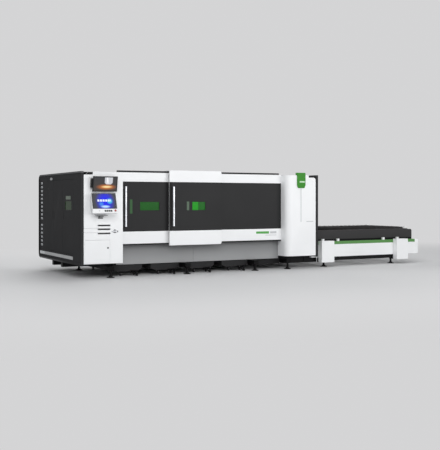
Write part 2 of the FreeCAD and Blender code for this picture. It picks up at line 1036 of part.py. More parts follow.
def bar_handle(left, plane):
    """A vertical bar handle on two blocks."""
    seat = plane + infill_setback
    back = seat - handle_standoff
    bar = slab(
        "z",
        [
            (left + handle_chamfer, back - handle_depth, 0),
            (left + handle_width - handle_chamfer, back - handle_depth, 0),
            (left + handle_width, back - handle_depth + handle_chamfer, 0),
            (left + handle_width, back, 0),
            (left, back, 0),
            (left, back - handle_depth + handle_chamfer, 0),
        ],
        handle_bottom,
        handle_bottom + handle_height,
    )
    pads = []
    pad_left = left + handle_chamfer
    pad_right = left + handle_width - handle_chamfer
    for z in (handle_bottom + handle_width, handle_bottom + handle_height - 2 * handle_width):
        pads.append(box(pad_left, pad_right, back, seat, z, z + handle_width))
    return fused([bar] + pads)


def left_door():
    """The inner sliding door."""
    frame = door_frame(left_door_left, left_door_width, door_plane, door_bottom, door_top, door_return_depth)
    window_left = left_door_left + left_window_offset
    return [frame.cut(window_block(window_left, left_window_width, door_plane, door_plane + 2 * door_depth))]


def left_door_infill():
    """The dark sheet of the inner sliding door."""
    sheet_infill = infill(left_door_left, left_door_width, door_plane)
    window_left = left_door_left + left_window_offset
    back = door_plane + door_depth
    return [sheet_infill.cut(window_block(window_left, left_window_width, door_plane, back))]


def left_door_window():
    """The filter glass of the inner sliding door."""
    return [window_glass(left_door_left + left_window_offset, left_window_width, door_plane)]


def left_door_handle():
    """The handle of the inner sliding door."""
    return [bar_handle(left_door_left + left_handle_offset, door_plane)]


def outer_door():
    """The outer sliding door, with its two right corners cut off."""
    frame = door_frame(
        outer_door_left, outer_door_width, outer_plane, outer_door_bottom, outer_door_top, outer_return_depth
    )
    right = outer_door_left + outer_door_width
    low = outer_door_bottom
    high = outer_door_top
    cut = outer_door_chamfer
    for z, step in ((low, cut), (high, -cut)):
        corner = slab(
            "y",
            [(right + 1, z - step, 0), (right + 1, z + step + 1, 0), (right - cut - 1, z - step, 0)],
            outer_plane - 1,
            outer_plane + door_depth + 1,
        )
        frame = frame.cut(corner)
    window_left = outer_door_left + outer_window_offset
    back = outer_plane + 2 * door_depth
    return [frame.cut(window_block(window_left, outer_window_width, outer_plane, back))]


def outer_door_infill():
    """The dark sheet of the outer sliding door."""
    sheet_infill = infill(outer_door_left, outer_door_width, outer_plane)
    window_left = outer_door_left + outer_window_offset
    back = outer_plane + door_depth
    return [sheet_infill.cut(window_block(window_left, outer_window_width, outer_plane, back))]


def outer_door_window():
    """The filter glass of the outer sliding door."""
    return [window_glass(outer_door_left + outer_window_offset, outer_window_width, outer_plane)]


def outer_door_handle():
    """The handle of the outer sliding door."""
    return [bar_handle(outer_door_left + outer_handle_offset, outer_plane)]


def fixed_front_panel():
    """The fixed part of the front, between the doors and the column."""
    width = column_left - fixed_panel_left
    low = door_bottom - fit
    frame = door_frame(fixed_panel_left, width, door_plane, low, enclosure_top, 0)
    back = door_plane + door_depth
    tab_top = header_bottom + header_height
    tab = box(fixed_panel_left, column_left, back, back + track_gap, header_bottom, tab_top)
    return [fused([frame, tab])]


def fixed_panel_infill():
    """The dark sheet of the fixed part."""
    return [infill(fixed_panel_left, column_left - fixed_panel_left, door_plane)]


def column_outline(inset, radius):
    """The column's front outline with the step at its top right."""
    left = column_left + inset
    right = column_right - inset
    low = column_bottom + inset
    high = cabinet_top - inset
    step_x = right - column_notch_width
    step_z = high - column_notch_height
    return [
        (left, low, 0),
        (right, low, 0),
        (right, step_z, radius),
        (step_x, step_z, 0),
        (step_x, high, 0),
        (left, high, 0),
    ]


def column_block(inset, back):
    """The column between its front and a back plane, with its soft front edge and its stepped top."""
    left = column_left + inset
    right = column_right - inset
    plan = slab(
        "z",
        [(left, inset, column_edge_radius - inset), (right, inset, 0), (right, back, 0), (left, back, 0)],
        column_bottom + inset,
        cabinet_top - inset,
    )
    radius = column_top_radius if inset == 0 else 0
    return plan.common(slab("y", column_outline(inset, radius), inset, back))


def right_column():
    """The white column: a folded shell, open behind, with a groove for the light bar."""
    shell = column_block(0, cabinet_depth).cut(column_block(sheet, cabinet_depth + 1))
    middle = lamp_left + lamp_width / 2
    half = light_bar_width / 2
    groove = box(middle - half, middle + half, -1, light_bar_depth, light_bar_bottom, lamp_bottom)
    return [shell.cut(groove)]


def status_lamp():
    """The lamp that hooks over the column, and the light bar under it."""
    right = lamp_left + lamp_width
    hood = slab(
        "x",
        [
            (-lamp_proud, lamp_bottom, 0),
            (0, lamp_bottom, 0),
            (0, cabinet_top, 0),
            (lamp_cap_depth, cabinet_top, 0),
            (lamp_cap_depth, lamp_top, 0),
            (-lamp_proud, lamp_top, lamp_proud),
        ],
        lamp_left,
        right,
    )
    outline = slab(
        "y",
        [
            (lamp_left + lamp_taper_width, lamp_bottom, 0),
            (right - lamp_taper_width, lamp_bottom, 0),
            (right, lamp_bottom + lamp_taper_height, 0),
            (right, lamp_top, 0),
            (lamp_left, lamp_top, 0),
            (lamp_left, lamp_bottom + lamp_taper_height, 0),
        ],
        -lamp_proud - 1,
        lamp_cap_depth + 1,
    )
    middle = lamp_left + lamp_width / 2
    half = light_bar_width / 2
    bar = box(middle - half, middle + half, -light_bar_proud, light_bar_depth, light_bar_bottom, lamp_bottom)
    return [hood.common(outline), bar]


# ---- control cabinet ----
def cabinet_outline(inset):
    """The cabinet's front outline with the step at its top left."""
    left = inset
    right = cabinet_width - inset
    low = cabinet_bottom + inset
    high = cabinet_top - inset
    step_x = cabinet_notch_width + inset
    step_z = high - cabinet_notch_height
    places = [(left, low), (right, low), (right, high), (step_x, high), (step_x, step_z), (left, step_z)]
    return [(x, z, 0) for x, z in places]


def control_cabinet():
    """The control cabinet: a folded wrapper between a front sheet with its openings and a back sheet."""
    back = cabinet_depth - sheet
    wrapper = slab("y", cabinet_outline(0), sheet, back)
    wrapper = wrapper.cut(slab("y", cabinet_outline(sheet), sheet - 1, back + 1))
    door_right = cabinet_door_left + cabinet_door_width + seam
    door_top_z = cabinet_door_bottom + cabinet_door_height
    cuts = [box(cabinet_door_left, door_right, -1, sheet + 1, cabinet_door_bottom, door_top_z)]
    half = vent_gap / 2
    for z in vent_heights:
        cuts.append(box(vent_left, vent_left + vent_length, -1, sheet + 1, z - half, z + half))
    smaller = cabinet_outline(seam / 2)
    front = slab("y", smaller, 0, sheet).cut(cuts)
    return [front, wrapper, slab("y", smaller, back, cabinet_depth)]


def cabinet_door():
    """The cabinet's lower door."""
    left = cabinet_door_left + fit
    right = cabinet_door_left + cabinet_door_width
    low = cabinet_door_bottom + seam
    high = cabinet_door_bottom + cabinet_door_height - seam
    return [plate("y", left, right, low, high, 0, end_leaf)]


def isolator_handle():
    """The rotary main switch: an eight-sided hub with a grip."""
    base = many_sided("y", isolator_x, isolator_z, isolator_radius, 8, -fit - isolator_base, -fit)
    half = isolator_radius / 3
    back = -fit - isolator_base
    grip = plate(
        "y",
        isolator_x - isolator_lever,
        isolator_x + isolator_lever,
        isolator_z - half,
        isolator_z + half,
        back - 2 * isolator_base,
        back,
    )
    return [fused([base, grip])]


def drive_modules():
    """The mounting plate and drives inside the cabinet."""
    back = cabinet_depth - sheet
    left = cabinet_door_left + drive_margin
    right = cabinet_door_left + cabinet_door_width - drive_margin
    low = cabinet_door_bottom + drive_margin
    high = cabinet_door_bottom + cabinet_door_height - drive_margin
    board = box(left, right, back - drive_board, back, low, high)
    pitch = (right - left) / drive_count
    solids = [board]
    for i in range(drive_count):
        x = left + i * pitch + drive_gap / 2
        front = back - drive_board - drive_depth
        solids.append(
            box(x, x + pitch - drive_gap, front, back - drive_board, low + drive_gap, high - drive_gap)
        )
    return solids


def laser_source():
    """The laser source on its shelf in the left end."""
    first, second = laser_shelf_places()
    half = sole_width / 2
    return [
        plate(
            "z",
            sheet,
            sheet + laser_width,
            first - half,
            second + half,
            enclosure_bottom,
            enclosure_bottom + laser_height,
        )
    ]


# ---- monitor and console ----
monitor_pivot = Vec(monitor_x, -pivot_reach, monitor_z)
console_pivot = Vec(console_x, -console_reach, console_z)


def pivot_ear_block(pivot, back):
    """The ear with its bore, from a housing's back to its pivot pin."""
    half = pivot_ear / 2
    ear = box(
        pivot.x - half, pivot.x + half, back, pivot.y + pivot_wall, pivot.z - pivot_wall, pivot.z + pivot_wall
    )
    reach = Vec(half, 0, 0)
    return ear.cut(rod(pivot_radius + pivot_fit, pivot - reach, pivot + reach))


def housing(pivot, width, height, depth, screen_low, screen_high):
    """A tilted housing with a recessed screen field and its pivot ears."""
    back = pivot.y - pivot_wall
    front = back - depth
    body = plate(
        "y", pivot.x - width / 2, pivot.x + width / 2, pivot.z - height / 2, pivot.z + height / 2, front, back
    )
    field = box(
        pivot.x - width / 2 + screen_bezel,
        pivot.x + width / 2 - screen_bezel,
        front - 1,
        front + screen_recess,
        pivot.z + screen_low,
        pivot.z + screen_high,
    )
    whole = fused([body.cut(field), pivot_ear_block(pivot, back)])
    return whole


def monitor():
    """The upper monitor."""
    half = monitor_height / 2 - screen_bezel
    whole = housing(monitor_pivot, monitor_width, monitor_height, monitor_depth, -half, half)
    return [tilted(whole, monitor_pivot, monitor_tilt)]


def console_front():
    """The untilted Y of the console's face."""
    return console_pivot.y - pivot_wall - console_depth


def button_places():
    """Untilted centres of the push buttons on the console's face."""
    z = console_z - button_drop
    return [Vec(console_x + button_first + i * button_pitch, console_front(), z) for i in range(button_count)]


def stop_place():
    """Untilted centre of the emergency stop."""
    return Vec(console_x + stop_x, console_front(), console_z - button_drop)


def key_block(place, half, front, back):
    """A square block about a place on the console's face."""
    low = place.z - half
    return box(place.x - half, place.x + half, place.y + front, place.y + back, low, place.z + half)


def console():
    """The lower console: screen above, a strip with buttons below."""
    high = console_height / 2 - console_top_bezel
    low = high - console_screen_height
    whole = housing(console_pivot, console_width, console_height, console_depth, low, high)
    clear = button_half + button_clear
    for place in button_places():
        whole = whole.cut(key_block(place, clear, -1, button_depth + button_travel + button_clear))
    clear = stop_stem_half + button_clear
    whole = whole.cut(key_block(stop_place(), clear, -1, button_depth + stop_travel + button_clear))
    return [tilted(whole, console_pivot, -console_tilt)]


def push_button(place):
    """A square push button in its hole."""
    button = key_block(place, button_half, -button_proud, button_depth)
    return [tilted(button, console_pivot, -console_tilt)]


def emergency_stop():
    """The mushroom emergency stop on its square stem."""
    place = stop_place()
    stem = key_block(place, stop_stem_half, -button_proud, button_depth)
    rim = place + Vec(0, -button_proud, 0)
    head = many_sided("y", rim.x, rim.z, stop_radius, stop_sides, rim.y - stop_head_height, rim.y)
    return [tilted(fused([stem, head]), console_pivot, -console_tilt)]


def console_arm():
    """The wall brackets, each with two lugs and a pivot pin."""
    solids = []
    for pivot in (monitor_pivot, console_pivot):
        inner = pivot_ear / 2 + fit
        outer = inner + pivot_lug
        low = pivot.z - pivot_wall
        high = pivot.z + pivot_wall
        reach = Vec(outer, 0, 0)
        pieces = [rod(pivot_radius, pivot - reach, pivot + reach)]
        for left in (pivot.x - outer, pivot.x + inner):
            pieces.append(box(left, left + pivot_lug, pivot.y, 0, low, high))
        pieces.append(box(pivot.x - outer, pivot.x + outer, -bracket_thickness, 0, low, high))
        solids.append(fused(pieces))
    return solids


# ---- gantry ----
def gantry_beam():
    """The cross beam with a grooved bearing block at each end and rails for the carriage."""
    rail_top = bed_top + guide_rail_height
    middle = bed_front + bed_beam_width / 2
    half = bed_beam_width / 3
    low = rail_top + fit + gantry_block_height
    centre = gantry_left + gantry_width / 2
    block = box(
        centre - gantry_block_length / 2,
        centre + gantry_block_length / 2,
        middle - half,
        middle + half,
        bed_top + gantry_block_clear,
        low,
    )
    groove_half = guide_rail_width / 2 + fit
    groove = box(0, enclosure_depth, middle - groove_half, middle + groove_half, bed_top, rail_top + fit)
    block = block.cut(groove)
    start = middle - half
    beam = box(gantry_left, gantry_left + gantry_width, start, mirror_y(start), low, low + gantry_height)
    right = gantry_left + gantry_width
    rails = []
    for z in (low + beam_rail_inset, low + gantry_height - beam_rail_inset - beam_rail_height):
        start = middle + half
        rails.append(box(right, right + beam_rail_depth, start, mirror_y(start), z, z + beam_rail_height))
    return [fused([beam] + mirrored([block]) + rails)]


def carriage_face():
    """The X of the carriage's back and front."""
    back = gantry_left + gantry_width + beam_rail_depth + fit
    return back, back + carriage_depth


def head_carriage():
    """The carriage that runs along the beam."""
    back, front = carriage_face()
    low = bed_top + guide_rail_height + fit + gantry_block_height + 2 * end_rim
    return [box(back, front, carriage_y, carriage_y + carriage_width, low, low + carriage_height)]


def cutting_head():
    """The cutting head: a slide block over a tapered nozzle."""
    front = carriage_face()[1] + fit
    depth = 2 * head_radius
    centre = Vec(front + depth / 2, carriage_y + carriage_width / 2, nozzle_tip)
    nozzle = tapered(centre, nozzle_tip_radius, head_radius / 2, nozzle_sides, nozzle_height)
    block = box(
        front,
        front + depth,
        centre.y - head_radius,
        centre.y + head_radius,
        nozzle_tip + nozzle_height,
        nozzle_tip + nozzle_height + head_height,
    )
    return [fused([nozzle, block])]


# ---- slag carts ----
def cart_left(index):
    """The left edge of a cart."""
    return cart_first + index * cart_pitch


def drawbar_place(index):
    """The hinge point of a cart's drawbar."""
    x = cart_left(index) + cart_width / 2 + drawbar_offset
    return Vec(x, cart_front - drawbar_section / 2 - fit, drawbar_hinge_height)


def inset_outline(corners, amount):
    """A convex outline of (u, v, radius) corners, moved inwards by a wall's thickness."""
    moved = []
    for i, (u, v, radius) in enumerate(corners):
        here = Vec(u, v, 0)
        before = corners[i - 1]
        after = corners[(i + 1) % len(corners)]
        back = (Vec(before[0], before[1], 0) - here).normalize()
        onward = (Vec(after[0], after[1], 0) - here).normalize()
        half = back.getAngle(onward) / 2
        corner = here + (back + onward).normalize() * (amount / math.sin(half))
        moved.append((corner.x, corner.y, radius))
    return moved


def cart_outline(left, top):
    """A cart's cross-section: upright sides on sloping shoulders and a flat bottom."""
    right = left + cart_width
    shoulder = cart_bottom + cart_slope_height
    return [
        (left, top, 0),
        (left, shoulder, 0),
        (left + cart_slope_width, cart_bottom, 0),
        (right - cart_slope_width, cart_bottom, 0),
        (right, shoulder, 0),
        (right, top, 0),
    ]


def slag_cart(index):
    """An open trough on four wheels, with lugs for its drawbar."""
    left = cart_left(index)
    back = cart_front + cart_length
    inside = inset_outline(cart_outline(left, cart_top + 2 * cart_wall), cart_wall)
    hollow = slab("y", inside, cart_front + cart_wall, back - cart_wall)
    tray = slab("y", cart_outline(left, cart_top), cart_front, back).cut(hollow)
    plates = []
    wheels = []
    hub = cart_floor_gap + cart_wheel_radius
    half = 3 * cart_wall
    for x in (left + cart_width / 2 - cart_wheel_inset, left + cart_width / 2 + cart_wheel_inset):
        inner = x + cart_wall
        for y in (cart_front + 1.5 * cart_wheel_radius, back - 1.5 * cart_wheel_radius):
            plates.append(box(x, inner, y - half, y + half, hub - half, cart_bottom))
            wheels.append(
                many_sided("x", y, hub, cart_wheel_radius, wheel_sides, inner, inner + cart_wheel_width)
            )
    hinge = drawbar_place(index)
    reach = drawbar_base / 2 + fit
    section = drawbar_section
    for x in (hinge.x - reach - cart_wall, hinge.x + reach):
        plates.append(
            box(x, x + cart_wall, hinge.y - section / 2, cart_front, hinge.z - section, hinge.z + section)
        )
    return [tray] + plates + wheels


def drawbar_drop():
    """How far the drawbar turns down to lie with its eye near the floor, in degrees."""
    drop = drawbar_hinge_height - cart_floor_gap - drawbar_section
    return math.degrees(math.asin(drop / (drawbar_reach + drawbar_eye)))


def cart_drawbar(index):
    """An A-frame drawbar, hinged on the cart's front."""
    hinge = drawbar_place(index)
    half = drawbar_base / 2
    tip = hinge.y - drawbar_reach
    low = hinge.z - drawbar_section / 2
    high = hinge.z + drawbar_section / 2
    bar = drawbar_section
    outer = slab(
        "z",
        [
            (hinge.x - half, hinge.y, 0),
            (hinge.x - half, hinge.y - bar, 0),
            (hinge.x - drawbar_eye, tip - drawbar_eye, 0),
            (hinge.x + drawbar_eye, tip - drawbar_eye, 0),
            (hinge.x + half, hinge.y - bar, 0),
            (hinge.x + half, hinge.y, 0),
        ],
        low,
        high,
    )
    hole = slab(
        "z",
        [
            (hinge.x - half + 2 * bar, hinge.y - bar, 0),
            (hinge.x, tip + 2 * bar, 0),
            (hinge.x + half - 2 * bar, hinge.y - bar, 0),
        ],
        low - 1,
        high + 1,
    )
    return [tilted(outer.cut(hole), hinge, drawbar_drop())]


nodes = {
    "bed_side_beams": bed_side_beams(),
    "bed_cross_members": bed_cross_members(),
    "levelling_feet": levelling_feet(),
    "x_guide_rails": x_guide_rails(),
    "pallet_rails": pallet_rails(),
    "table_side_beams": table_side_beams(),
    "table_underframe": table_underframe(),
    "table_leg_covers": table_leg_covers(),
    "pallet_guide_rollers": pallet_guide_rollers(),
    "upper_pallet": upper_pallet(),
    "lower_pallet": lower_pallet(),
    "left_end_cover": left_end_cover(),
    "end_window_door": end_window_door(),
    "end_door_window": end_door_window(),
    "end_door_front": end_door_front(),
    "end_door_rear": end_door_rear(),
    "end_vent_grille": end_vent_grille(),
    "end_bumper_rail": end_bumper_rail(),
    "right_end_cover": right_end_cover(),
    "pallet_gate": pallet_gate(),
    "rear_panels": rear_panels(),
    "roof_panels": roof_panels(),
    "skirt_panels": skirt_panels(),
    "door_tracks": door_tracks(),
    "left_door": left_door(),
    "left_door_infill": left_door_infill(),
    "left_door_window": left_door_window(),
    "left_door_handle": left_door_handle(),
    "outer_door": outer_door(),
    "outer_door_infill": outer_door_infill(),
    "outer_door_window": outer_door_window(),
    "outer_door_handle": outer_door_handle(),
    "fixed_front_panel": fixed_front_panel(),
    "fixed_panel_infill": fixed_panel_infill(),
    "right_column": right_column(),
    "status_lamp": status_lamp(),
    "control_cabinet": control_cabinet(),
    "cabinet_door": cabinet_door(),
    "isolator_handle": isolator_handle(),
    "drive_modules": drive_modules(),
    "laser_source": laser_source(),
    "monitor": monitor(),
    "console": console(),
    "console_arm": console_arm(),
    "emergency_stop": emergency_stop(),
    "gantry_beam": gantry_beam(),
    "head_carriage": head_carriage(),
    "cutting_head": cutting_head(),
}
for number, place in enumerate(button_places()):
    nodes["push_button_" + str(number + 1)] = push_button(place)
for number in range(cart_count):
    nodes["slag_cart_" + str(number + 1)] = slag_cart(number)
    nodes["cart_drawbar_" + str(number + 1)] = cart_drawbar(number)

for name, solids in nodes.items():
    save(name, solids)
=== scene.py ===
"""The looks of the sheet laser cutter: finishes, fine forms, studio and camera, around its fixed frame."""

import json
import math

import bmesh
import bpy
import numpy as np
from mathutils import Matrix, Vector

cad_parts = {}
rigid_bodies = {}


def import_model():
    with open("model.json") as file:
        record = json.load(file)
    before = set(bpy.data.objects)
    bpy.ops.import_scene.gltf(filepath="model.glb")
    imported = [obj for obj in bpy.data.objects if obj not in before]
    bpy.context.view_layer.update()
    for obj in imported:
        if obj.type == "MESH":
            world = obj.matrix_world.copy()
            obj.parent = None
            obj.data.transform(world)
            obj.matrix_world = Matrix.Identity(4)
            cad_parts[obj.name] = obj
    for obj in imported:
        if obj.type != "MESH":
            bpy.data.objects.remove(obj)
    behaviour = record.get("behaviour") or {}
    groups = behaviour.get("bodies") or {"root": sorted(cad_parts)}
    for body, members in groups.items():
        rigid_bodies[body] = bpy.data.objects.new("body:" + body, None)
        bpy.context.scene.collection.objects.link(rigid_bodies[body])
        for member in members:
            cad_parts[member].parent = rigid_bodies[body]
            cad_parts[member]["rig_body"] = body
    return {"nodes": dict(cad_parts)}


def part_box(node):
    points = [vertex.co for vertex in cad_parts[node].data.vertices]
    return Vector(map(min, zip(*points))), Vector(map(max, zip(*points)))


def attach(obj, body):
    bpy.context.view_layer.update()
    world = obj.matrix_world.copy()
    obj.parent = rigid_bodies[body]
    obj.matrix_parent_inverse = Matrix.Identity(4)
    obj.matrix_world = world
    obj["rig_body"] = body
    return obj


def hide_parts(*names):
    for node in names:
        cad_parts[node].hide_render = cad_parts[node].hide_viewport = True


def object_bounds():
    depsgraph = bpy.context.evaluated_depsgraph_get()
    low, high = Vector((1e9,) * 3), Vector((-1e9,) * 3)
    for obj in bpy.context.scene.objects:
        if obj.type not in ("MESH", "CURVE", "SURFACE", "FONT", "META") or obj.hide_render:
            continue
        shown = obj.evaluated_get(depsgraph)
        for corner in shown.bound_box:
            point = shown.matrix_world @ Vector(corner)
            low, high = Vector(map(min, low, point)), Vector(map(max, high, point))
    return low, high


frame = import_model()
cad_low, cad_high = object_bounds()

MM = 0.001
CREASE = math.radians(32)
BUTTONS = [f"push_button_{number}" for number in range(1, 5)]
CARTS = [f"slag_cart_{number}" for number in range(1, 5)]
DRAWBARS = [f"cart_drawbar_{number}" for number in range(1, 5)]
END_DOORS = ["end_window_door", "end_door_front", "end_door_rear"]


# ---- places taken from the frame ----
class Block:
    """A box between a low and a high corner, with plain names for its six sides."""

    def __init__(self, low, high):
        self.left, self.front, self.bottom = low
        self.right, self.back, self.top = high
        self.width, self.depth, self.height = (b - a for a, b in zip(low, high))
        self.x, self.y, self.z = ((a + b) / 2 for a, b in zip(low, high))

    def seen(self, axis):
        """Its rectangle seen along x or y: two sides, then bottom and top."""
        sides = (self.front, self.back) if axis == "x" else (self.left, self.right)
        return (*sides, self.bottom, self.top)


def block_of(node):
    """The box of a whole CAD node."""
    return Block(*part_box(node))


def block_round(vertices):
    """The box round some vertices."""
    places = np.array([v.co for v in vertices])
    return Block(places.min(0), places.max(0))


def body_of(node):
    """The name of the body that a CAD node rides on."""
    return frame["nodes"][node]["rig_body"]


def merged(node):
    """A copy of a node's mesh with its doubles merged."""
    form = bmesh.new()
    form.from_mesh(frame["nodes"][node].data)
    bmesh.ops.remove_doubles(form, verts=form.verts, dist=0.01 * MM)
    return form


def islands(form):
    """The vertices of each separate solid of a merged mesh."""
    seen = set()
    found = []
    for seed in form.verts:
        if seed in seen:
            continue
        seen.add(seed)
        island = [seed]
        for vertex in island:
            for edge in vertex.link_edges:
                other = edge.other_vert(vertex)
                if other not in seen:
                    seen.add(other)
                    island.append(other)
        found.append(island)
    return found


def solid_blocks(node):
    """The box of each separate solid of a node."""
    form = merged(node)
    blocks = [block_round(island) for island in islands(form)]
    form.free()
    return blocks


# ---- shader values ----
def operator(operation):
    """The method of an operator: it adds a Math node on the value and the other input."""
    return lambda self, other: self.maths(operation, self, other)


def reflected(operation):
    """The same with the other input first, as in 1 - mask."""
    return lambda self, other: self.maths(operation, other, self)


class Value:
    """A number that varies over a surface: Python's operators on it add Math nodes."""

    def __init__(self, tree, socket):
        self.tree = tree
        self.socket = socket

    def maths(self, operation, *inputs):
        """One Math node on the given inputs."""
        settings = {"operation": operation}
        return self.tree.node("ShaderNodeMath", settings, dict(enumerate(inputs))).value()

    __add__, __radd__ = operator("ADD"), reflected("ADD")
    __sub__, __rsub__ = operator("SUBTRACT"), reflected("SUBTRACT")
    __mul__, __rmul__ = operator("MULTIPLY"), reflected("MULTIPLY")
    __truediv__, __rtruediv__ = operator("DIVIDE"), reflected("DIVIDE")
    __pow__ = operator("POWER")
    __gt__ = operator("GREATER_THAN")
    __lt__ = operator("LESS_THAN")

    def larger(self, other):
        """The larger of two values."""
        return self.maths("MAXIMUM", self, other)

    def between(self, low, high):
        """One where the value lies between two limits, and zero elsewhere."""
        return (self > low) * (self < high)

    def ramp(self, low, high):
        """A smooth rise from zero at low to one at high."""
        settings = {"interpolation_type": "SMOOTHSTEP"}
        inputs = {"Value": self, "From Min": low, "From Max": high}
        return self.tree.node("ShaderNodeMapRange", settings, inputs).value()

    def repeat(self, pitch):
        """The distance within each step of a pattern that repeats at a pitch."""
        return self.maths("FLOORED_MODULO", self, pitch)

    def size(self):
        """The value without its sign."""
        return self.maths("ABSOLUTE", self)


class Added:
    """A node that has been added, with its outputs at hand."""

    def __init__(self, tree, node):
        self.tree = tree
        self.made = node

    def value(self, output=0):
        """One output as a number."""
        return Value(self.tree, self.made.outputs[output])

    def link(self, output=0):
        """One output as a plain socket."""
        return self.made.outputs[output]


def paint(red, green, blue):
    """A colour on the 0 to 255 scale, as the shader's linear colour, by the sRGB curve."""
    shares = np.array([red, green, blue]) / 255
    linear = np.where(shares <= 0.04045, shares / 12.92, ((shares + 0.055) / 1.055) ** 2.4)
    return (*linear.tolist(), 1.0)


def scaled(colour, share):
    """A colour with its red, green and blue times a share."""
    return (*(c * share for c in colour[:3]), 1.0)


class Tree:
    """The nodes of a material or of the world, all added by one method."""

    def __init__(self, owner):
        owner.use_nodes = True
        self.tree = owner.node_tree
        self.tree.nodes.clear()

    def node(self, kind, settings=None, inputs=None):
        """Adds a node: its settings first, then the values or links of its sockets."""
        made = self.tree.nodes.new(kind)
        for key, setting in (settings or {}).items():
            setattr(made, key, setting)
        for key, given in (inputs or {}).items():
            self.feed(made.inputs[key], given)
        return Added(self, made)

    def feed(self, socket, given):
        """Links a value or another socket, or sets a constant."""
        if isinstance(given, Value):
            self.tree.links.new(given.socket, socket)
        elif isinstance(given, bpy.types.NodeSocket):
            self.tree.links.new(given, socket)
        else:
            socket.default_value = given


class Finish(Tree):
    """A procedural surface: one principled shader and the nodes that feed it."""

    def __init__(self, name, slot=None):
        self.slot = slot
        self.material = bpy.data.materials.new(name)
        super().__init__(self.material)
        self.shader = self.node("ShaderNodeBsdfPrincipled")
        self.output = self.node("ShaderNodeOutputMaterial", inputs={"Surface": self.shader.link()})
        self.material.diffuse_color = (0.5, 0.5, 0.5, 1.0)

    def set(self, **inputs):
        """Sets the shader's own sockets; an underscore in a name stands for a space."""
        for key, given in inputs.items():
            self.feed(self.shader.made.inputs[key.replace("_", " ")], given)
        return self

    def place(self, source="Object"):
        """The coordinates across the surface, as three numbers."""
        where = self.node("ShaderNodeTexCoord").link(source)
        parts = self.node("ShaderNodeSeparateXYZ", inputs={0: where})
        return parts.value(0), parts.value(1), parts.value(2)

    def noise(self, scale, detail, stretch=(1, 1, 1)):
        """Cloudy noise in object space, finer with scale and drawn out by stretch."""
        where = self.node("ShaderNodeTexCoord").link("Object")
        drawn = self.node("ShaderNodeMapping", inputs={"Vector": where, "Scale": stretch}).link()
        inputs = {"Vector": drawn, "Scale": scale, "Detail": detail}
        return self.node("ShaderNodeTexNoise", inputs=inputs).value()

    def mixed(self, share, first, second):
        """A colour from first to second with share: inputs 6 and 7 and output 2 are the node's colours."""
        settings = {"data_type": "RGBA", "clamp_factor": True}
        return self.node("ShaderNodeMix", settings, {0: share, 6: first, 7: second}).link(2)

    def bump(self, height, depth):
        """Raises the surface by height times depth, in metres."""
        inputs = {"Height": height, "Distance": depth, "Strength": 1.0}
        return self.set(Normal=self.node("ShaderNodeBump", inputs=inputs).link())


# ---- finishes ----
def powder_coat(name, slot, colour, roughness=0.42, fields=(), grooves=(), gloss=0.5):
    """Sprayed paint: a fine orange peel, slightly uneven gloss, a little dust low down.

    Each field is a test on x, y and z with its own colour. Each groove is a test that
    gives a dark, sunk line.
    """
    finish = Finish(name, slot)
    x, y, z = finish.place()
    cloud = finish.noise(1.3, 4.0)
    peel = finish.noise(420.0, 2.0)
    dusty, line_share, line_depth, gloss_change = 0.94, 0.75, 8.0, 0.12
    dust = cloud.ramp(0.35, 0.75) * (1.0 - z.ramp(0.1, 1.2) * 0.7)
    tone = finish.mixed(dust, colour, scaled(colour, dusty))
    for test, other in fields:
        tone = finish.mixed(test(x, y, z), tone, other)
    relief = peel * 0.15
    for test in grooves:
        line = test(x, y, z)
        tone = finish.mixed(line * line_share, tone, paint(40, 40, 42))
        relief = relief - line * line_depth
    uneven = roughness + (cloud - 0.5) * gloss_change
    finish.set(Base_Color=tone, Roughness=uneven, IOR=1.5, Specular_IOR_Level=gloss)
    return finish.bump(relief, 0.2 * MM)


def ground_steel(name, colour, roughness=0.3, stretch=(1, 60, 60)):
    """Bright machined steel with fine lines, which run along the axis that is stretched least."""
    finish = Finish(name, "rail_steel")
    lines = finish.noise(9.0, 4.0, stretch)
    cloud = finish.noise(6.0, 3.0)
    finish.set(
        Base_Color=finish.mixed(cloud.ramp(0.3, 0.8), colour, scaled(colour, 0.72)),
        Metallic=0.9,
        Roughness=roughness + (lines - 0.5) * 0.22,
    )
    return finish.bump(lines, 0.08 * MM)


def burnt_steel(name, scale, dark):
    """Hot-rolled pallet steel: dark scale, brown heat stain and specks of pale spatter."""
    finish = Finish(name, "pallet_steel")
    cloud = finish.noise(3.2, 5.0)
    grit = finish.noise(160.0, 3.0)
    stain = finish.noise(11.0, 4.0, (1, 1, 3))
    base = finish.mixed(cloud.ramp(0.3, 0.7), scale, dark)
    base = finish.mixed(stain.ramp(0.55, 0.8) * 0.6, base, paint(70, 58, 48))
    base = finish.mixed((grit > 0.66) * 0.5, base, paint(96, 93, 90))
    finish.set(Base_Color=base, Metallic=0.35, Roughness=0.62 + (grit - 0.5) * 0.3)
    return finish.bump(grit + cloud * 2.0, 0.4 * MM)


def moulded(name, slot, colour, roughness=0.5, grain=600.0):
    """Moulded plastic with a fine grain."""
    finish = Finish(name, slot)
    fine = finish.noise(grain, 2.0)
    cloud = finish.noise(8.0, 2.0)
    worn = (*(min(1.0, c * 1.25 + 0.004) for c in colour[:3]), 1.0)
    finish.set(
        Base_Color=finish.mixed(cloud.ramp(0.45, 0.9) * 0.5, colour, worn),
        Roughness=roughness + (cloud - 0.5) * 0.1,
    )
    return finish.bump(fine, 0.06 * MM)


def filter_glass(name, colour, bright=None, split=None, gloss=0.14):
    """Laser filter glass: deep green, with a brighter part left of the split, and a faint painted glow."""
    finish = Finish(name, "green_glass")
    cloud = finish.noise(5.0, 2.0)
    tone = finish.mixed(cloud.ramp(0.2, 0.9), colour, scaled(colour, 0.86))
    if bright:
        tone = finish.mixed(finish.place()[0] < split, tone, bright)
    finish.set(Base_Color=tone, Roughness=0.2 + cloud * 0.08, IOR=1.5, Specular_IOR_Level=gloss)
    # the emission is a painted glow: the glass gives no light of its own
    return finish.set(Emission_Color=tone, Emission_Strength=0.12).bump(cloud, 0.4 * MM)


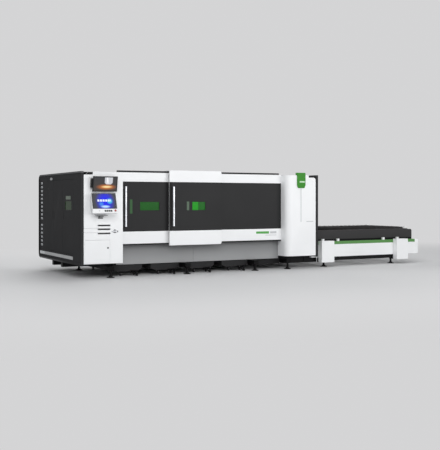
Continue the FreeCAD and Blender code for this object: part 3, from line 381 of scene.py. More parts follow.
# ---- forms ----
def mm(*pairs):
    """Pairs of millimetres as pairs of metres."""
    return [(u * MM, v * MM) for u, v in pairs]


def about(middle, half):
    """The two ends of a span about its middle."""
    return middle - half, middle + half


def wider(rectangle, margin):
    """A rectangle (u0, u1, v0, v1) with a margin added on every side."""
    u0, u1, v0, v1 = rectangle
    return u0 - margin, u1 + margin, v0 - margin, v1 + margin


def lifted(axis, outline, level):
    """An outline's points at a level along an axis: (y, z) across x, (x, z) across y, (x, y) across z."""
    u, v = np.asarray(outline, float).T
    flat = np.full(len(u), float(level))
    return np.stack({"x": (flat, u, v), "y": (u, flat, v), "z": (u, v, flat)}[axis], 1)


def prism(axis, outline, low, high):
    """A closed outline carried straight along an axis from low to high, with both ends closed."""
    count = len(outline)
    here = np.arange(count)
    ahead = np.roll(here, -1)
    points = np.concatenate([lifted(axis, outline, low), lifted(axis, outline, high)])
    sides = np.stack([here, ahead, ahead + count, here + count], 1)
    ends = [here[::-1].tolist(), (here + count).tolist()]
    return points, sides.tolist() + ends


def rounded(u0, u1, v0, v1, radius):
    """A rectangle's outline: at each corner a quarter circle, centre plus radius times (cos, sin)."""
    steps = 5
    turn = np.linspace(0, math.pi / 2, steps + 1)
    corners = [(u1, v0, -1, 1, -math.pi / 2), (u1, v1, -1, -1, 0.0)]
    corners += [(u0, v1, 1, -1, math.pi / 2), (u0, v0, 1, 1, math.pi)]
    arcs = []
    for u, v, side, up, start in corners:
        across = u + side * radius + radius * np.cos(start + turn)
        along = v + up * radius + radius * np.sin(start + turn)
        arcs.append(np.stack([across, along], 1))
    return np.concatenate(arcs)


def slab(axis, u0, u1, v0, v1, low, high, radius=0.0):
    """A plate across an axis, with rounded corners where a radius is given."""
    if radius > 0:
        return prism(axis, rounded(u0, u1, v0, v1, radius), low, high)
    return prism(axis, [(u0, v0), (u1, v0), (u1, v1), (u0, v1)], low, high)


def ring(axis, outer, inner, low, high):
    """A closed band between an outer and an inner outline of as many points, from low to high."""
    count = len(outer)
    rims = [(outer, low), (outer, high), (inner, high), (inner, low)]
    points = np.concatenate([lifted(axis, outline, level) for outline, level in rims])
    here = np.arange(count)
    ahead = np.roll(here, -1)
    faces = []
    for i in range(4):
        j = (i + 1) % 4
        strip = [i * count + here, i * count + ahead, j * count + ahead, j * count + here]
        faces += np.stack(strip, 1).tolist()
    return points, faces


def collar(axis, opening, past, over, radii, low, high):
    """A band round an opening (u0, u1, v0, v1): past its edge outwards and over it inwards."""
    outer = rounded(*wider(opening, past), radii[0])
    inner = rounded(*wider(opening, -over), radii[1])
    return ring(axis, outer, inner, low, high)


def turned(profile, centre=(0, 0, 0), axis="z", sides=48):
    """A (radius, height) profile turned about an axis: radius times (cos, sin), height along it."""
    radius, height = np.asarray(profile, float).T
    angle = np.linspace(0, 2 * math.pi, sides, endpoint=False)
    u = radius[:, None] * np.cos(angle)
    v = radius[:, None] * np.sin(angle)
    w = np.repeat(height[:, None], sides, 1)
    order = {"x": (w, u, v), "y": (v, w, u), "z": (u, v, w)}[axis]
    points = np.stack(order, -1).reshape(-1, 3) + np.asarray(centre, float)
    row, column = np.meshgrid(np.arange(len(radius) - 1), np.arange(sides), indexing="ij")
    ahead = (column + 1) % sides
    below = row * sides
    above = below + sides
    corners = [below + column, below + ahead, above + ahead, above + column]
    faces = np.stack(corners, -1).reshape(-1, 4).tolist()
    first = list(range(sides))[::-1]
    last = list(range((len(radius) - 1) * sides, len(radius) * sides))
    return points, faces + [first, last]


def repeated(part, offsets):
    """The same part at each offset."""
    points, faces = part
    places = (points[None] + np.asarray(offsets, float)[:, None]).reshape(-1, 3)
    count = len(points)
    return places, [[i + k * count for i in face] for k in range(len(offsets)) for face in faces]


def gathered(parts):
    """Several parts as one set of points and faces."""
    points = []
    faces = []
    start = 0
    for part_points, part_faces in parts:
        points.append(part_points)
        faces += [[i + start for i in face] for face in part_faces]
        start += len(part_points)
    return np.concatenate(points), faces


# ---- pieces ----
def placed(name, data):
    """A new object in the scene."""
    thing = bpy.data.objects.new(name, data)
    bpy.context.scene.collection.objects.link(thing)
    return thing


def finished(name, mesh, body, finish, replaces, bevel):
    """Puts a mesh in the scene with its finish, on its body, with its sharp edges rounded."""
    mesh.shade_smooth()
    mesh.set_sharp_from_angle(angle=CREASE)
    mesh.materials.append(finish.material)
    thing = placed(name, mesh)
    if bevel:
        edge = thing.modifiers.new("edges", "BEVEL")
        edge.width = bevel
        edge.segments = 3
        edge.limit_method = "ANGLE"
        edge.angle_limit = CREASE
        edge.harden_normals = True
    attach(thing, body)
    if replaces:
        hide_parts(*replaces)
    return thing


def piece(name, parts, body, finish, replaces=(), bevel=0.0):
    """A new piece from parts, its doubles merged and its faces turned outwards."""
    points, faces = gathered(parts)
    mesh = bpy.data.meshes.new(name)
    mesh.from_pydata(points.tolist(), [], faces)
    form = bmesh.new()
    form.from_mesh(mesh)
    bmesh.ops.remove_doubles(form, verts=form.verts, dist=0.001 * MM)
    bmesh.ops.recalc_face_normals(form, faces=form.faces)
    form.to_mesh(mesh)
    form.free()
    return finished(name, mesh, body, finish, replaces, bevel)


def softened(node, finish, bevel, keep=None, name=None):
    """A node's own form with a small round on its sharp edges; keep tests each solid's box."""
    name = name or node + "_shell"
    form = merged(node)
    nearly_flat = math.radians(0.5)
    if keep:
        lost = [v for island in islands(form) if not keep(block_round(island)) for v in island]
        bmesh.ops.delete(form, geom=lost, context="VERTS")
    bmesh.ops.dissolve_limit(
        form, angle_limit=nearly_flat, verts=form.verts, edges=form.edges, use_dissolve_boundaries=False
    )
    mesh = bpy.data.meshes.new(name)
    form.to_mesh(mesh)
    form.free()
    finished(name, mesh, body_of(node), finish, (node,), bevel)


def coat(finish, *nodes):
    """Gives CAD nodes a finish in their own material slots."""
    for node in nodes:
        mesh = frame["nodes"][node].data
        mesh.materials.clear()
        mesh.materials.append(finish.material)


# ---- studio ----
def lamp(name, place, target, size, power):
    """A large soft lamp aimed at a point."""
    light = bpy.data.lights.new(name, "AREA")
    light.shape = "RECTANGLE"
    light.size, light.size_y = size
    light.energy = power
    thing = placed(name, light)
    thing.location = place
    thing.rotation_euler = (Vector(target) - Vector(place)).to_track_quat("-Z", "Y").to_euler()


def studio():
    """A pale floor that melts into a pale backdrop, and soft lamps."""
    backdrop = (0.66, 0.66, 0.667, 1)
    world = bpy.data.worlds.new("studio")
    bpy.context.scene.world = world
    sky = Tree(world)
    path = sky.node("ShaderNodeLightPath")
    mirrored = path.value("Is Glossy Ray").larger(path.value("Is Transmission Ray"))
    direct = mirrored.larger(path.value("Is Camera Ray"))
    plain = sky.node("ShaderNodeBackground", inputs={"Color": backdrop}).link()
    daylight = {"Color": (0.96, 0.98, 1.0, 1), "Strength": 0.42}
    ambient = sky.node("ShaderNodeBackground", inputs=daylight).link()
    blend = sky.node("ShaderNodeMixShader", inputs={0: direct, 1: ambient, 2: plain}).link()
    sky.node("ShaderNodeOutputWorld", inputs={"Surface": blend})

    reach, thick = 120.0, 0.02
    points, faces = slab("z", -reach, reach, -reach, reach, -thick, 0.0)
    mesh = bpy.data.meshes.new("floor")
    mesh.from_pydata(points.tolist(), [], faces)
    finish = Finish("studio_floor")
    mesh.materials.append(finish.material)
    x, y, _ = finish.place()
    cloud = finish.noise(0.7, 3.0)
    finish.set(Base_Color=(0.66, 0.66, 0.665, 1), Roughness=0.7 + (cloud - 0.5) * 0.1, Specular_IOR_Level=0.2)
    middle_x, middle_y, length_share = 4.0, 1.3, 0.62
    melt_start, melt_end = 3.4, 10.0
    across = (x - middle_x) * length_share
    along = y - middle_y
    away = (across * across + along * along) ** 0.5
    glow = finish.node("ShaderNodeEmission", inputs={"Color": backdrop}).link()
    mixed = {0: away.ramp(melt_start, melt_end), 1: finish.shader.link(), 2: glow}
    finish.feed(finish.output.made.inputs["Surface"], finish.node("ShaderNodeMixShader", inputs=mixed).link())
    floor = placed("floor", mesh)

    middle = ((cad_low + cad_high) / 2)[:]
    lamp("key", (-3.0, -11.0, 7.5), middle, (7.0, 5.0), 605.0)
    lamp("front", (9.0, -12.5, 4.0), middle, (8.0, 5.0), 535.0)
    lamp("side", (-10.0, -1.0, 4.0), middle, (5.0, 4.0), 60.0)
    lamp("top", (4.0, 2.0, 11.0), middle, (9.0, 6.0), 320.0)
    lamp("back", (5.0, 14.0, 7.0), middle, (9.0, 5.0), 700.0)


def camera():
    """A level camera at an operator's eye height, to the left of the front."""
    eye = (-5.807, -15.432, 1.606)
    heading = Vector((0.4772, 0.8788, 0.0))
    pixels_down, picture_height = 25, 450
    view = bpy.data.cameras.new("camera")
    view.lens = 63.2
    view.shift_y = -pixels_down / picture_height
    view.clip_end = 500.0
    thing = placed("camera", view)
    thing.location = eye
    thing.rotation_euler = heading.to_track_quat("-Z", "Y").to_euler()
    bpy.context.scene.camera = thing


# ---- faces that carry other pieces ----
class Panel:
    """The largest flat face of a node that looks forward, with its own across, up and out directions."""

    def __init__(self, node):
        mesh = frame["nodes"][node].data
        mesh.calc_loop_triangles()
        corners = np.array([[mesh.vertices[i].co for i in t.vertices] for t in mesh.loop_triangles])
        cross = np.cross(corners[:, 1] - corners[:, 0], corners[:, 2] - corners[:, 0])
        area = np.linalg.norm(cross, axis=1)
        normal = cross / area[:, None]
        offset = np.einsum("ij,ij->i", normal, corners[:, 0])
        least_forward, same_level = 0.8, 0.5 * MM
        forward = normal[:, 1] < -least_forward
        levels = np.round(offset / same_level).astype(int)
        best = max(set(levels[forward]), key=lambda level: area[forward & (levels == level)].sum())
        chosen = forward & (levels == best)
        self.out = normal[chosen].mean(0)
        self.out /= np.linalg.norm(self.out)
        self.across = np.array([1.0, 0.0, 0.0])
        self.up = np.cross(self.out, self.across)
        points = corners[chosen].reshape(-1, 3)
        u = points @ self.across
        v = points @ self.up
        w = float((points @ self.out).mean())
        self.middle = (u.min() + u.max()) / 2 * self.across + (v.min() + v.max()) / 2 * self.up + w * self.out
        self.width = u.max() - u.min()
        self.height = v.max() - v.min()

    def put(self, part):
        """A part given as (across, up, out) from the middle of the face, in its place."""
        points, faces = part
        axes = np.stack([self.across, self.up, self.out])
        return self.middle + points @ axes, faces

    def over(self, x, y, z):
        """Where a point lies over the face: across and up from its middle."""
        away = np.array([x, y, z]) - self.middle
        return away @ self.across, away @ self.up

    def shares(self, points):
        """Where points lie on the face, from zero to one across and up."""
        away = points - self.middle
        return np.stack([away @ self.across / self.width, away @ self.up / self.height], 1) + 0.5


def pictured(thing, panel):
    """Gives a screen its own picture coordinates, from zero to one over the panel."""
    mesh = thing.data
    layer = mesh.uv_layers.new(name="picture")
    points = np.empty(len(mesh.vertices) * 3)
    mesh.vertices.foreach_get("co", points)
    corner = np.empty(len(mesh.loops), int)
    mesh.loops.foreach_get("vertex_index", corner)
    layer.uv.foreach_set("vector", panel.shares(points.reshape(-1, 3))[corner].ravel())


# ---- screens ----
def blob(u, v, middle, size):
    """A soft round patch: one in its middle, fading to nothing at its size."""
    across = (u - middle[0]) / size[0]
    along = (v - middle[1]) / size[1]
    return (1.0 - (across * across + along * along) ** 0.5).ramp(0.0, 0.75)


def lit(finish, tone, strength):
    """Makes a screen show a tone by its own light, behind smooth glass."""
    smear = finish.noise(14.0, 3.0)
    finish.set(Base_Color=paint(12, 12, 14), Roughness=0.14 + smear.ramp(0.4, 0.8) * 0.1)
    return finish.set(Emission_Color=tone, Emission_Strength=strength)


def cutting_picture():
    """The monitor's picture: a pale cutting nozzle over an orange glow, on dark grey."""
    finish = Finish("monitor_picture", "black_plastic")
    u, v, _ = finish.place("UV")
    streaks = finish.noise(30.0, 2.0, (1, 1, 0.1))
    soft = 0.03
    tone = finish.mixed(v, paint(66, 56, 50), paint(52, 54, 57))
    middle, half_width = 0.645, 0.19
    taper = (0.62 - v).ramp(0.0, 0.2) * 0.09
    nozzle = (half_width - ((u - middle).size() + taper)).ramp(0.0, soft) * v.ramp(0.44, 0.5)
    tone = finish.mixed(nozzle, tone, paint(206, 208, 214))
    middle, half_width = 0.61, 0.07
    shine = (half_width - (u - middle).size()).ramp(0.0, soft) * v.ramp(0.5, 0.56)
    tone = finish.mixed(shine * streaks.ramp(0.3, 0.7), tone, paint(250, 250, 252))
    glow = blob(u, v, (0.55, 0.28), (0.52, 0.26)) * 0.85
    tone = finish.mixed(glow, tone, paint(214, 118, 40))
    spark = blob(u, v, (0.57, 0.29), (0.3, 0.12))
    tone = finish.mixed(spark, tone, paint(255, 226, 160))
    return lit(finish, tone, 0.95)


def control_picture():
    """The console's picture: a blue glow, lighter patches in it, and a row of plain pale tiles."""
    finish = Finish("console_picture", "black_plastic")
    u, v, _ = finish.place("UV")
    tone = paint(66, 67, 72)
    for middle, size, colour in (
        ((0.54, 0.46), (0.48, 0.9), paint(20, 34, 235)),
        ((0.36, 0.3), (0.14, 0.2), paint(60, 130, 235)),
        ((0.74, 0.5), (0.16, 0.24), paint(70, 200, 235)),
    ):
        tone = finish.mixed(blob(u, v, middle, size), tone, colour)
    start, end, pitch, width = 0.2, 0.8, 0.115, 0.088
    low, high = 0.47, 0.61
    tile = ((u - start).repeat(pitch) < width) * u.between(start, end) * v.between(low, high)
    tone = finish.mixed(tile, tone, paint(232, 240, 255))
    tone = finish.mixed(blob(u, v, (0.53, 0.13), (0.26, 0.12)), tone, paint(190, 226, 255))
    return lit(finish, tone, 1.0)


def screen_glass(node, panel, picture):
    """A thin glass that fills a screen's face and shows its picture."""
    half_width, half_height, thick = panel.width / 2, panel.height / 2, 1 * MM
    glass = panel.put(slab("z", -half_width, half_width, -half_height, half_height, -thick, thick))
    pictured(piece(node + "_glass", [glass], node + "_body", picture), panel)


def screens():
    """Monitor and console: housings, glass with pictures, screen frame, buttons, stop and bracket."""
    softened("monitor", plastic, 5 * MM)
    panel = Panel("monitor")
    low, high = -84 * MM, 106 * MM
    back, front = -92 * MM, -34 * MM
    housings = [
        panel.put(slab("z", start, end, low, high, back, front, radius=6 * MM))
        for start, end in mm((-290, -66), (66, 252))
    ]
    piece("monitor_rear_housings", housings, "monitor_body", plastic, bevel=5 * MM)
    screen_glass("monitor", panel, cutting_picture())

    softened("console", white, 6 * MM)
    panel = Panel("console")
    screen_glass("console", panel, control_picture())
    half_width, half_height = panel.width / 2, panel.height / 2
    side, below, above = 16 * MM, 6 * MM, 9 * MM
    outer = rounded(-half_width - side, half_width + side, -half_height - below, half_height + above, 6 * MM)
    inner = rounded(-half_width, half_width, -half_height, half_height, 2 * MM)
    rim = panel.put(ring("z", outer, inner, 2 * MM, 5.5 * MM))
    piece("console_screen_frame", [rim], "console_body", plastic, bevel=1 * MM)

    for node in BUTTONS:
        softened(node, plastic, 1.5 * MM)
    button_bezels(panel)
    mushroom()
    shelf()


def button_bezels(panel):
    """A dark bezel round each push button, and a small port cover in the same row."""
    half_width, half_height, half_opening = 17 * MM, 19 * MM, 12.5 * MM
    buttons = [block_of(node) for node in BUTTONS]
    centres = [panel.over(box.x, box.front, box.z) for box in buttons]
    bezels = []
    for across, along in centres:
        outer = rounded(*about(across, half_width), *about(along, half_height), 3 * MM)
        inner = rounded(*about(across, half_opening), *about(along, half_opening), 1 * MM)
        bezels.append(panel.put(ring("z", outer, inner, 3 * MM, 6.5 * MM)))
    piece("button_bezels", bezels, "console_body", plastic, bevel=0.8 * MM)
    row = centres[-1][1]
    left, right, half_tall = -138 * MM, -108 * MM, 9 * MM
    cover = slab("z", left, right, *about(row, half_tall), 3 * MM, 6 * MM, radius=3 * MM)
    piece("console_port_cover", [panel.put(cover)], "console_body", pale_bar, bevel=0.8 * MM)


def shelf():
    """The bracket on the cabinet under the console: a plate on a triangular gusset with a flange."""
    console_box = block_of("console")
    face = block_of("control_cabinet").front
    sunk = face + 1 * MM
    middle = console_box.x - 20 * MM
    top = console_box.bottom - 34 * MM
    plate_half, reach, thick = 120 * MM, 105 * MM, 10 * MM
    plate = slab("z", *about(middle, plate_half), face - reach, sunk, top - thick, top, radius=12 * MM)
    gusset_half, nose, foot = 34 * MM, face - 92 * MM, face - 16 * MM
    high, low = top - 9 * MM, top - 68 * MM
    outline = [(nose, high), (nose, top - 22 * MM), (foot, low), (sunk, low), (sunk, high)]
    gusset = prism("x", outline, *about(middle, gusset_half))
    flange_half, upright = 50 * MM, (top - 76 * MM, top - 8 * MM)
    flange = slab("y", *about(middle, flange_half), *upright, face - 6 * MM, sunk, radius=6 * MM)
    piece("console_bracket", [plate, gusset, flange], "root", bracket_grey, bevel=2 * MM)


def mushroom():
    """The emergency stop: a red mushroom head on a stem, turned about its panel's outward direction."""
    panel = Panel("emergency_stop")
    radius = block_of("emergency_stop").width / 2
    deep = 14 * MM
    shares = [(0.55, -1.0), (0.94, -0.95), (1.0, -0.7), (1.0, -0.45), (0.93, -0.18), (0.75, -0.03)]
    head = [(r * radius, h * deep) for r, h in shares] + [(0.5 * MM, 0.0)]
    neck = [(0.5 * radius, -2.3 * deep), (0.5 * radius, -0.9 * deep)]
    parts = [panel.put(turned(head)), panel.put(turned(neck, sides=32))]
    piece("stop_mushroom", parts, "emergency_stop_body", red, replaces=("emergency_stop",))


# ---- enclosure ----
def gasket(name, body, axis, window, face):
    """A rubber band round a window (u0, u1, v0, v1), standing out from a face."""
    past, over, radii = 9 * MM, 4 * MM, (8 * MM, 4 * MM)
    band = collar(axis, window, past, over, radii, face - 2 * MM, face + 3 * MM)
    piece(name, [band], body, gasket_rubber, bevel=1 * MM)


def film(name, body, axis, place, face, finish):
    """A plain coloured film with rounded corners on a face that looks to the front or the left."""
    proud, sunk = face - 0.8 * MM, face + 0.5 * MM
    piece(name, [slab(axis, *place, proud, sunk, radius=4 * MM)], body, finish)


def doors():
    """The front doors and the fixed panel, with gaskets, handles, films, and near-black strips beside the
    handles that are painted shade.
    """
    for node in ("left_door", "outer_door", "fixed_front_panel"):
        softened(node, white, 4 * MM)
    gap = 3 * MM
    for door in ("left_door", "outer_door"):
        infill = block_of(door + "_infill")
        handle = block_of(door + "_handle")
        gasket(door + "_gasket", door + "_body", "y", block_of(door + "_window").seen("y"), infill.front)
        softened(door + "_handle", handle_aluminium, 2 * MM)
        # a near-black strip from the infill's left edge to the handle: painted shade of the recess beside it
        left, right = infill.left + gap, handle.left - 4 * MM
        proud, sunk = infill.front - 2.5 * MM, infill.front + 1 * MM
        strip = slab("y", left, right, infill.bottom + gap, infill.top - gap, proud, sunk, radius=4 * MM)
        piece(door + "_painted_shade_strip", [strip], door + "_body", painted_shade_rubber, bevel=0.8 * MM)
    label("left_door", 126, 182, 1320, 1617, left_label)
    label("outer_door", 352, 408, 1385, 1572, outer_label)


def label(door, start, end, low, high, finish):
    """A film on a door's infill: start and end from its handle, low and high from the floor, in mm."""
    handle = block_of(door + "_handle").left
    place = (handle + start * MM, handle + end * MM, low * MM, high * MM)
    film(door + "_film", door + "_body", "y", place, block_of(door + "_infill").front, finish)


def cabinet():
    """The control cabinet, its door with a lock and hinges, and the main switch's handle."""
    softened("control_cabinet", cabinet_white, 3 * MM)
    softened("cabinet_door", white, 2 * MM)
    face = block_of("control_cabinet").front
    door = block_of("cabinet_door")
    lever = block_of("isolator_handle")
    node = ("isolator_handle",)
    rosette = turned(mm((37, 0), (37, -5), (33, -9), (16, -10)), (lever.x, face, lever.z), "y")
    tip_left, tip_right, tip_half = lever.right - 24 * MM, lever.right + 2 * MM, 13 * MM
    tip = slab(
        "y", tip_left, tip_right, *about(lever.z, tip_half),
        lever.front - 1 * MM, face - 8 * MM, radius=8 * MM,
    )
    piece("isolator_rosette", [rosette, tip], "isolator_body", dark_handle, replaces=node, bevel=2 * MM)
    arm_right, arm_half = lever.right - 20 * MM, 11 * MM
    arm = slab(
        "y", lever.left, arm_right, *about(lever.z, arm_half), lever.front, face - 9 * MM, radius=9 * MM
    )
    piece("isolator_grip", [arm], "isolator_body", handle_aluminium, replaces=node, bevel=2 * MM)
    barrel = mm((18, 1), (18, -3), (15, -5), (6, -5), (5, -3))
    from_edge, height = 41 * MM, 627 * MM
    lock = turned(barrel, (door.right - from_edge, door.front, height), "y", sides=32)
    piece("cabinet_lock", [lock], "cabinet_door_body", plastic)
    from_end = 60 * MM
    first = (door.left - 2 * MM, door.front, door.bottom + from_end)
    knuckle = turned(mm((7, -30), (7, 30)), first, sides=24)
    hinges = repeated(knuckle, [(0, 0, 0), (0, 0, door.height - 2 * from_end)])
    piece("cabinet_hinges", [hinges], "root", white, bevel=1 * MM)


def end_cover():
    """The dark left end: folded shell with painted highlights and painted shade on its rim, service doors,
    vent, window trim, lock, pull lips and rail.
    """
    softened("left_end_cover", rim_lit_and_shaded_grey, 4 * MM)
    for node in END_DOORS:
        softened(node, end_grey, 2.5 * MM)
    softened("end_vent_grille", perforated_grey, 1.5 * MM)
    louvres()
    softened("end_bumper_rail", fender_grey, 5 * MM)
    window = block_of("end_door_window").seen("x")
    face = block_of("end_window_door").left
    gasket("end_window_gasket", "end_window_door_body", "x", window, face)
    front, back, _, top = window
    inset, gap, height = 60 * MM, 32 * MM, 73 * MM
    place = (front + inset, back - inset, top + gap, top + gap + height)
    film("end_window_film", "end_window_door_body", "x", place, face, end_label)
    barrel = mm((14, 1), (14, -4), (11, -6), (4, -6))
    from_edge, height = 32 * MM, 1862 * MM
    lock = turned(barrel, (face, block_of("end_door_rear").back - from_edge, height), "x", sides=32)
    piece("end_door_lock", [lock], "end_door_rear_body", plastic)
    for node in END_DOORS:
        pull_lip(node)
    rail = block_of("end_bumper_rail")
    rim, length = 6 * MM, 380 * MM
    cap = slab(
        "x", rail.back - length, rail.back - rim, rail.bottom + rim, rail.top - rim,
        rail.left - 2 * MM, rail.left + 1 * MM, radius=8 * MM,
    )
    piece("fender_end_plate", [cap], "root", fin_pale, bevel=1 * MM)
    stretch = (1, 3.2, 1)
    middle = (rail.left + 11 * MM, 1917 * MM, 2076 * MM)
    points, faces = turned(mm((30, 1), (30, -2), (27, -3.5)), axis="x")
    oval = points * stretch + middle
    piece("plain_oval_plate", [(oval, faces)], "root", badge_grey)


def louvres():
    """The vent panel's openings: a pale collar round each, and a blade that slopes down inwards."""
    grille = block_of("end_vent_grille")
    proud, sunk = grille.left - 3 * MM, grille.left + 1 * MM
    outside, inside = grille.left - 2 * MM, grille.right - 4 * MM
    past, over, radii = 5 * MM, 2 * MM, (6 * MM, 3 * MM)
    edge, thick = 3 * MM, 9 * MM
    fins = []
    for opening in slots("end_vent_grille"):
        front, back, low, high = opening
        fins.append(collar("x", opening, past, over, radii, proud, sunk))
        upper = [(outside, high - edge), (outside, high - edge - thick)]
        lower = [(inside, low + edge), (inside, low + edge + thick)]
        fins.append(prism("y", upper + lower, front - 1 * MM, back + 1 * MM))
    piece("vent_fins", fins, "root", fin_pale)


def inner_corners(node, edge, low=0.0, high=math.inf):
    """The corners of a plate across x that lie away from its front and back edges, between two heights."""
    box = block_of(node)
    form = merged(node)
    places = np.array([v.co for v in form.verts])
    form.free()
    _, y, z = places.T
    return places[(y > box.front + edge) & (y < box.back - edge) & (z > low) & (z < high)]


def pull_lip(node):
    """A wide near-black lip round a door's pull slit, which lies at hand height: painted shade that makes the
    slit read dark.
    """
    face = block_of(node).left
    edge, lowest, highest = 15 * MM, 1100 * MM, 1375 * MM
    _, y, z = inner_corners(node, edge, lowest, highest).T
    slit = (y.min(), y.max(), z.min(), z.max())
    width, radii = 12 * MM, (6 * MM, 1 * MM)
    lip = collar("x", slit, width, 0.0, radii, face - 2 * MM, face + 1 * MM)
    piece(node + "_pull_lip", [lip], node + "_body", painted_shade_rubber, bevel=0.8 * MM)


def slots(node):
    """The openings of a plate across x, as (front, back, bottom, top) from its inner corners."""
    edge = 2 * MM
    _, y, z = inner_corners(node, edge).T
    levels = sorted({round(level, 4) for level in z.tolist()})
    return [(y.min(), y.max(), low, high) for low, high in zip(levels[::2], levels[1::2])]


def column():
    """The right column, the right end cover, and the green lamp head with its light line."""
    slim = 60 * MM
    softened("right_column", white, 3 * MM)
    softened("right_end_cover", end_grey, 4 * MM)
    softened("status_lamp", lamp_green, 14 * MM, keep=lambda box: box.width > slim)
    softened("status_lamp", light_line, 1.5 * MM, keep=lambda box: box.width <= slim, name="light_line")


def table():
    """The exchange table: striped side beams, leg covers, underframe, guard strip and link to the bed."""
    bed = block_of("bed_side_beams")
    underframe = block_of("table_underframe")
    face = block_of("skirt_panels").front
    low, high = 112 * MM, 298 * MM
    near, far = face + 4 * MM, face + 64 * MM
    link = slab("y", bed.right - 2 * MM, underframe.left + 4 * MM, low, high, near, far)
    piece("bed_table_link", [link], "root", bed_grey, bevel=4 * MM)
    beam = min(solid_blocks("table_side_beams"), key=lambda box: box.y)
    guard = block_of("pallet_rails").front
    left, right = beam.left + 160 * MM, beam.right - 66 * MM
    low, high = beam.top - 30 * MM, beam.top + 46 * MM
    strip = slab("y", left, right, low, high, guard + 1 * MM, guard + 11 * MM)
    piece("guard_lower_strip", [strip], "root", black, bevel=1 * MM)
    softened("table_side_beams", striped_white, 4 * MM)
    softened("table_leg_covers", white, 4 * MM)
    softened("table_underframe", black, 4 * MM)


# ---- running gear ----
def feet():
    """Levelling feet: a turned pad with a swivel boss and a stem, and a lock nut."""
    nut = turned(mm((32, 0), (36, 3), (36, 21), (32, 24)), sides=6)
    nut_drop = 24.5 * MM
    slope = 6 * MM
    pads = []
    nut_places = []
    for foot in solid_blocks("levelling_feet"):
        radius = foot.width / 2
        rim = [(radius, 0), (radius, 9 * MM), (radius - slope, 14 * MM)]
        stem = mm((42, 22), (36, 40), (24, 46)) + [(24 * MM, foot.height)]
        pads.append(turned(rim + stem, (foot.x, foot.y, foot.bottom), sides=40))
        nut_places.append((foot.x, foot.y, foot.top - nut_drop))
    parts = pads + [repeated(nut, nut_places)]
    piece("turned_feet", parts, "root", black, replaces=("levelling_feet",), bevel=0.8 * MM)


def wheel_profile(radius, half):
    """A wheel's turned outline from one side to the other: hub, dished web, rim and rounded tread."""
    side = [(0.2, -1.06), (0.28, -1.06), (0.3, -0.5), (0.72, -0.5), (0.78, -1.0), (0.97, -1.0), (1.0, -0.8)]
    other_side = [(share, -level) for share, level in reversed(side)]
    return [(share * radius, level * half) for share, level in side + other_side]


def is_wheel(box):
    """Whether a solid's box is that of a wheel: round seen from one side, and narrow."""
    narrowest, widest, least_size, out_of_round = 25 * MM, 35 * MM, 55 * MM, 2 * MM
    thick, size, length = sorted((box.width, box.depth, box.height))
    return narrowest < thick < widest and least_size < size and length - size < out_of_round


def wheels(node, axis, finish):
    """Turned wheels in the places of a node's wheels."""
    parts = []
    for box in filter(is_wheel, solid_blocks(node)):
        half = (box.width if axis == "x" else box.depth) / 2
        parts.append(turned(wheel_profile(box.height / 2, half), (box.x, box.y, box.z), axis, sides=40))
    piece(node + "_turned_wheels", parts, body_of(node), finish, replaces=(node,))


def carts():
    """The slag carts: folded troughs, turned wheels and drawbars."""
    for cart, drawbar in zip(CARTS, DRAWBARS):
        softened(cart, cart_steel, 1.2 * MM, keep=lambda box: not is_wheel(box))
        wheels(cart, "x", plastic)
        softened(drawbar, black, 2.5 * MM)


# ---- pallets ----
def is_slat(box):
    """Whether a pallet solid's box is that of a slat, which is thin along the pallet."""
    thin = 6 * MM
    return box.width < thin


def is_stop(box):
    """Whether a pallet solid's box is that of a corner stop."""
    depth, height, near = 40 * MM, 60 * MM, 2 * MM
    return abs(box.depth - depth) < near and abs(box.height - height) < near


def is_welded(box):
    """Whether a pallet solid's box is that of a piece of the welded frame."""
    return not (is_wheel(box) or is_slat(box) or is_stop(box))


def toothed(box):
    """A slat with fine teeth along its top edge: a zigzag of equal peaks and valleys."""
    pitch, deep, blunt = 46 * MM, 26 * MM, 1 * MM
    count = round(box.depth / pitch)
    step = box.depth / count
    valley = box.top - deep
    places = box.front + step * np.arange(count)
    peaks = np.stack([places + step / 2, np.full(count, box.top - blunt)], 1)
    dips = np.stack([places, np.full(count, valley)], 1)
    zigzag = np.stack([dips, peaks], 1).reshape(-1, 2)
    base = [(box.back, valley), (box.back, box.bottom), (box.front, box.bottom)]
    return prism("x", np.concatenate([zigzag, base]), box.left, box.right)


def pallets():
    """Both pallets: welded frame, fine-toothed slats, turned wheels and pale corner stops."""
    for node in ("upper_pallet", "lower_pallet"):
        boxes = solid_blocks(node)
        softened(node, pallet_paint, 1.5 * MM, keep=is_welded)
        slats = [toothed(box) for box in filter(is_slat, boxes)]
        piece(node + "_slats", slats, body_of(node), slat_steel, replaces=(node,))
        wheels(node, "y", steel)
        corners = filter(is_stop, boxes)
        stops = [slab("x", *box.seen("x"), box.left, box.right, radius=8 * MM) for box in corners]
        piece(node + "_corner_stops", stops, body_of(node), white, replaces=(node,), bevel=3 * MM)


# ---- motion system ----
def linear_guides():
    """The rails with waisted sides, and the racks with trapezoid teeth along their tops."""
    rack_depth = 28 * MM
    side = [(1.0, 0.0), (1.0, 0.3), (0.72, 0.45), (0.72, 0.62), (1.0, 0.76), (1.0, 0.94), (0.94, 1.0)]
    parts = []
    for box in solid_blocks("x_guide_rails"):
        half = box.depth / 2
        if box.depth > rack_depth:
            right = [(box.y + half * u, box.bottom + box.height * v) for u, v in side]
            left = [(2 * box.y - u, v) for u, v in reversed(right)]
            parts.append(prism("x", right + left, box.left, box.right))
        else:
            parts.append(rack(box))
    piece("profiled_guides", parts, "root", steel, replaces=("x_guide_rails",))


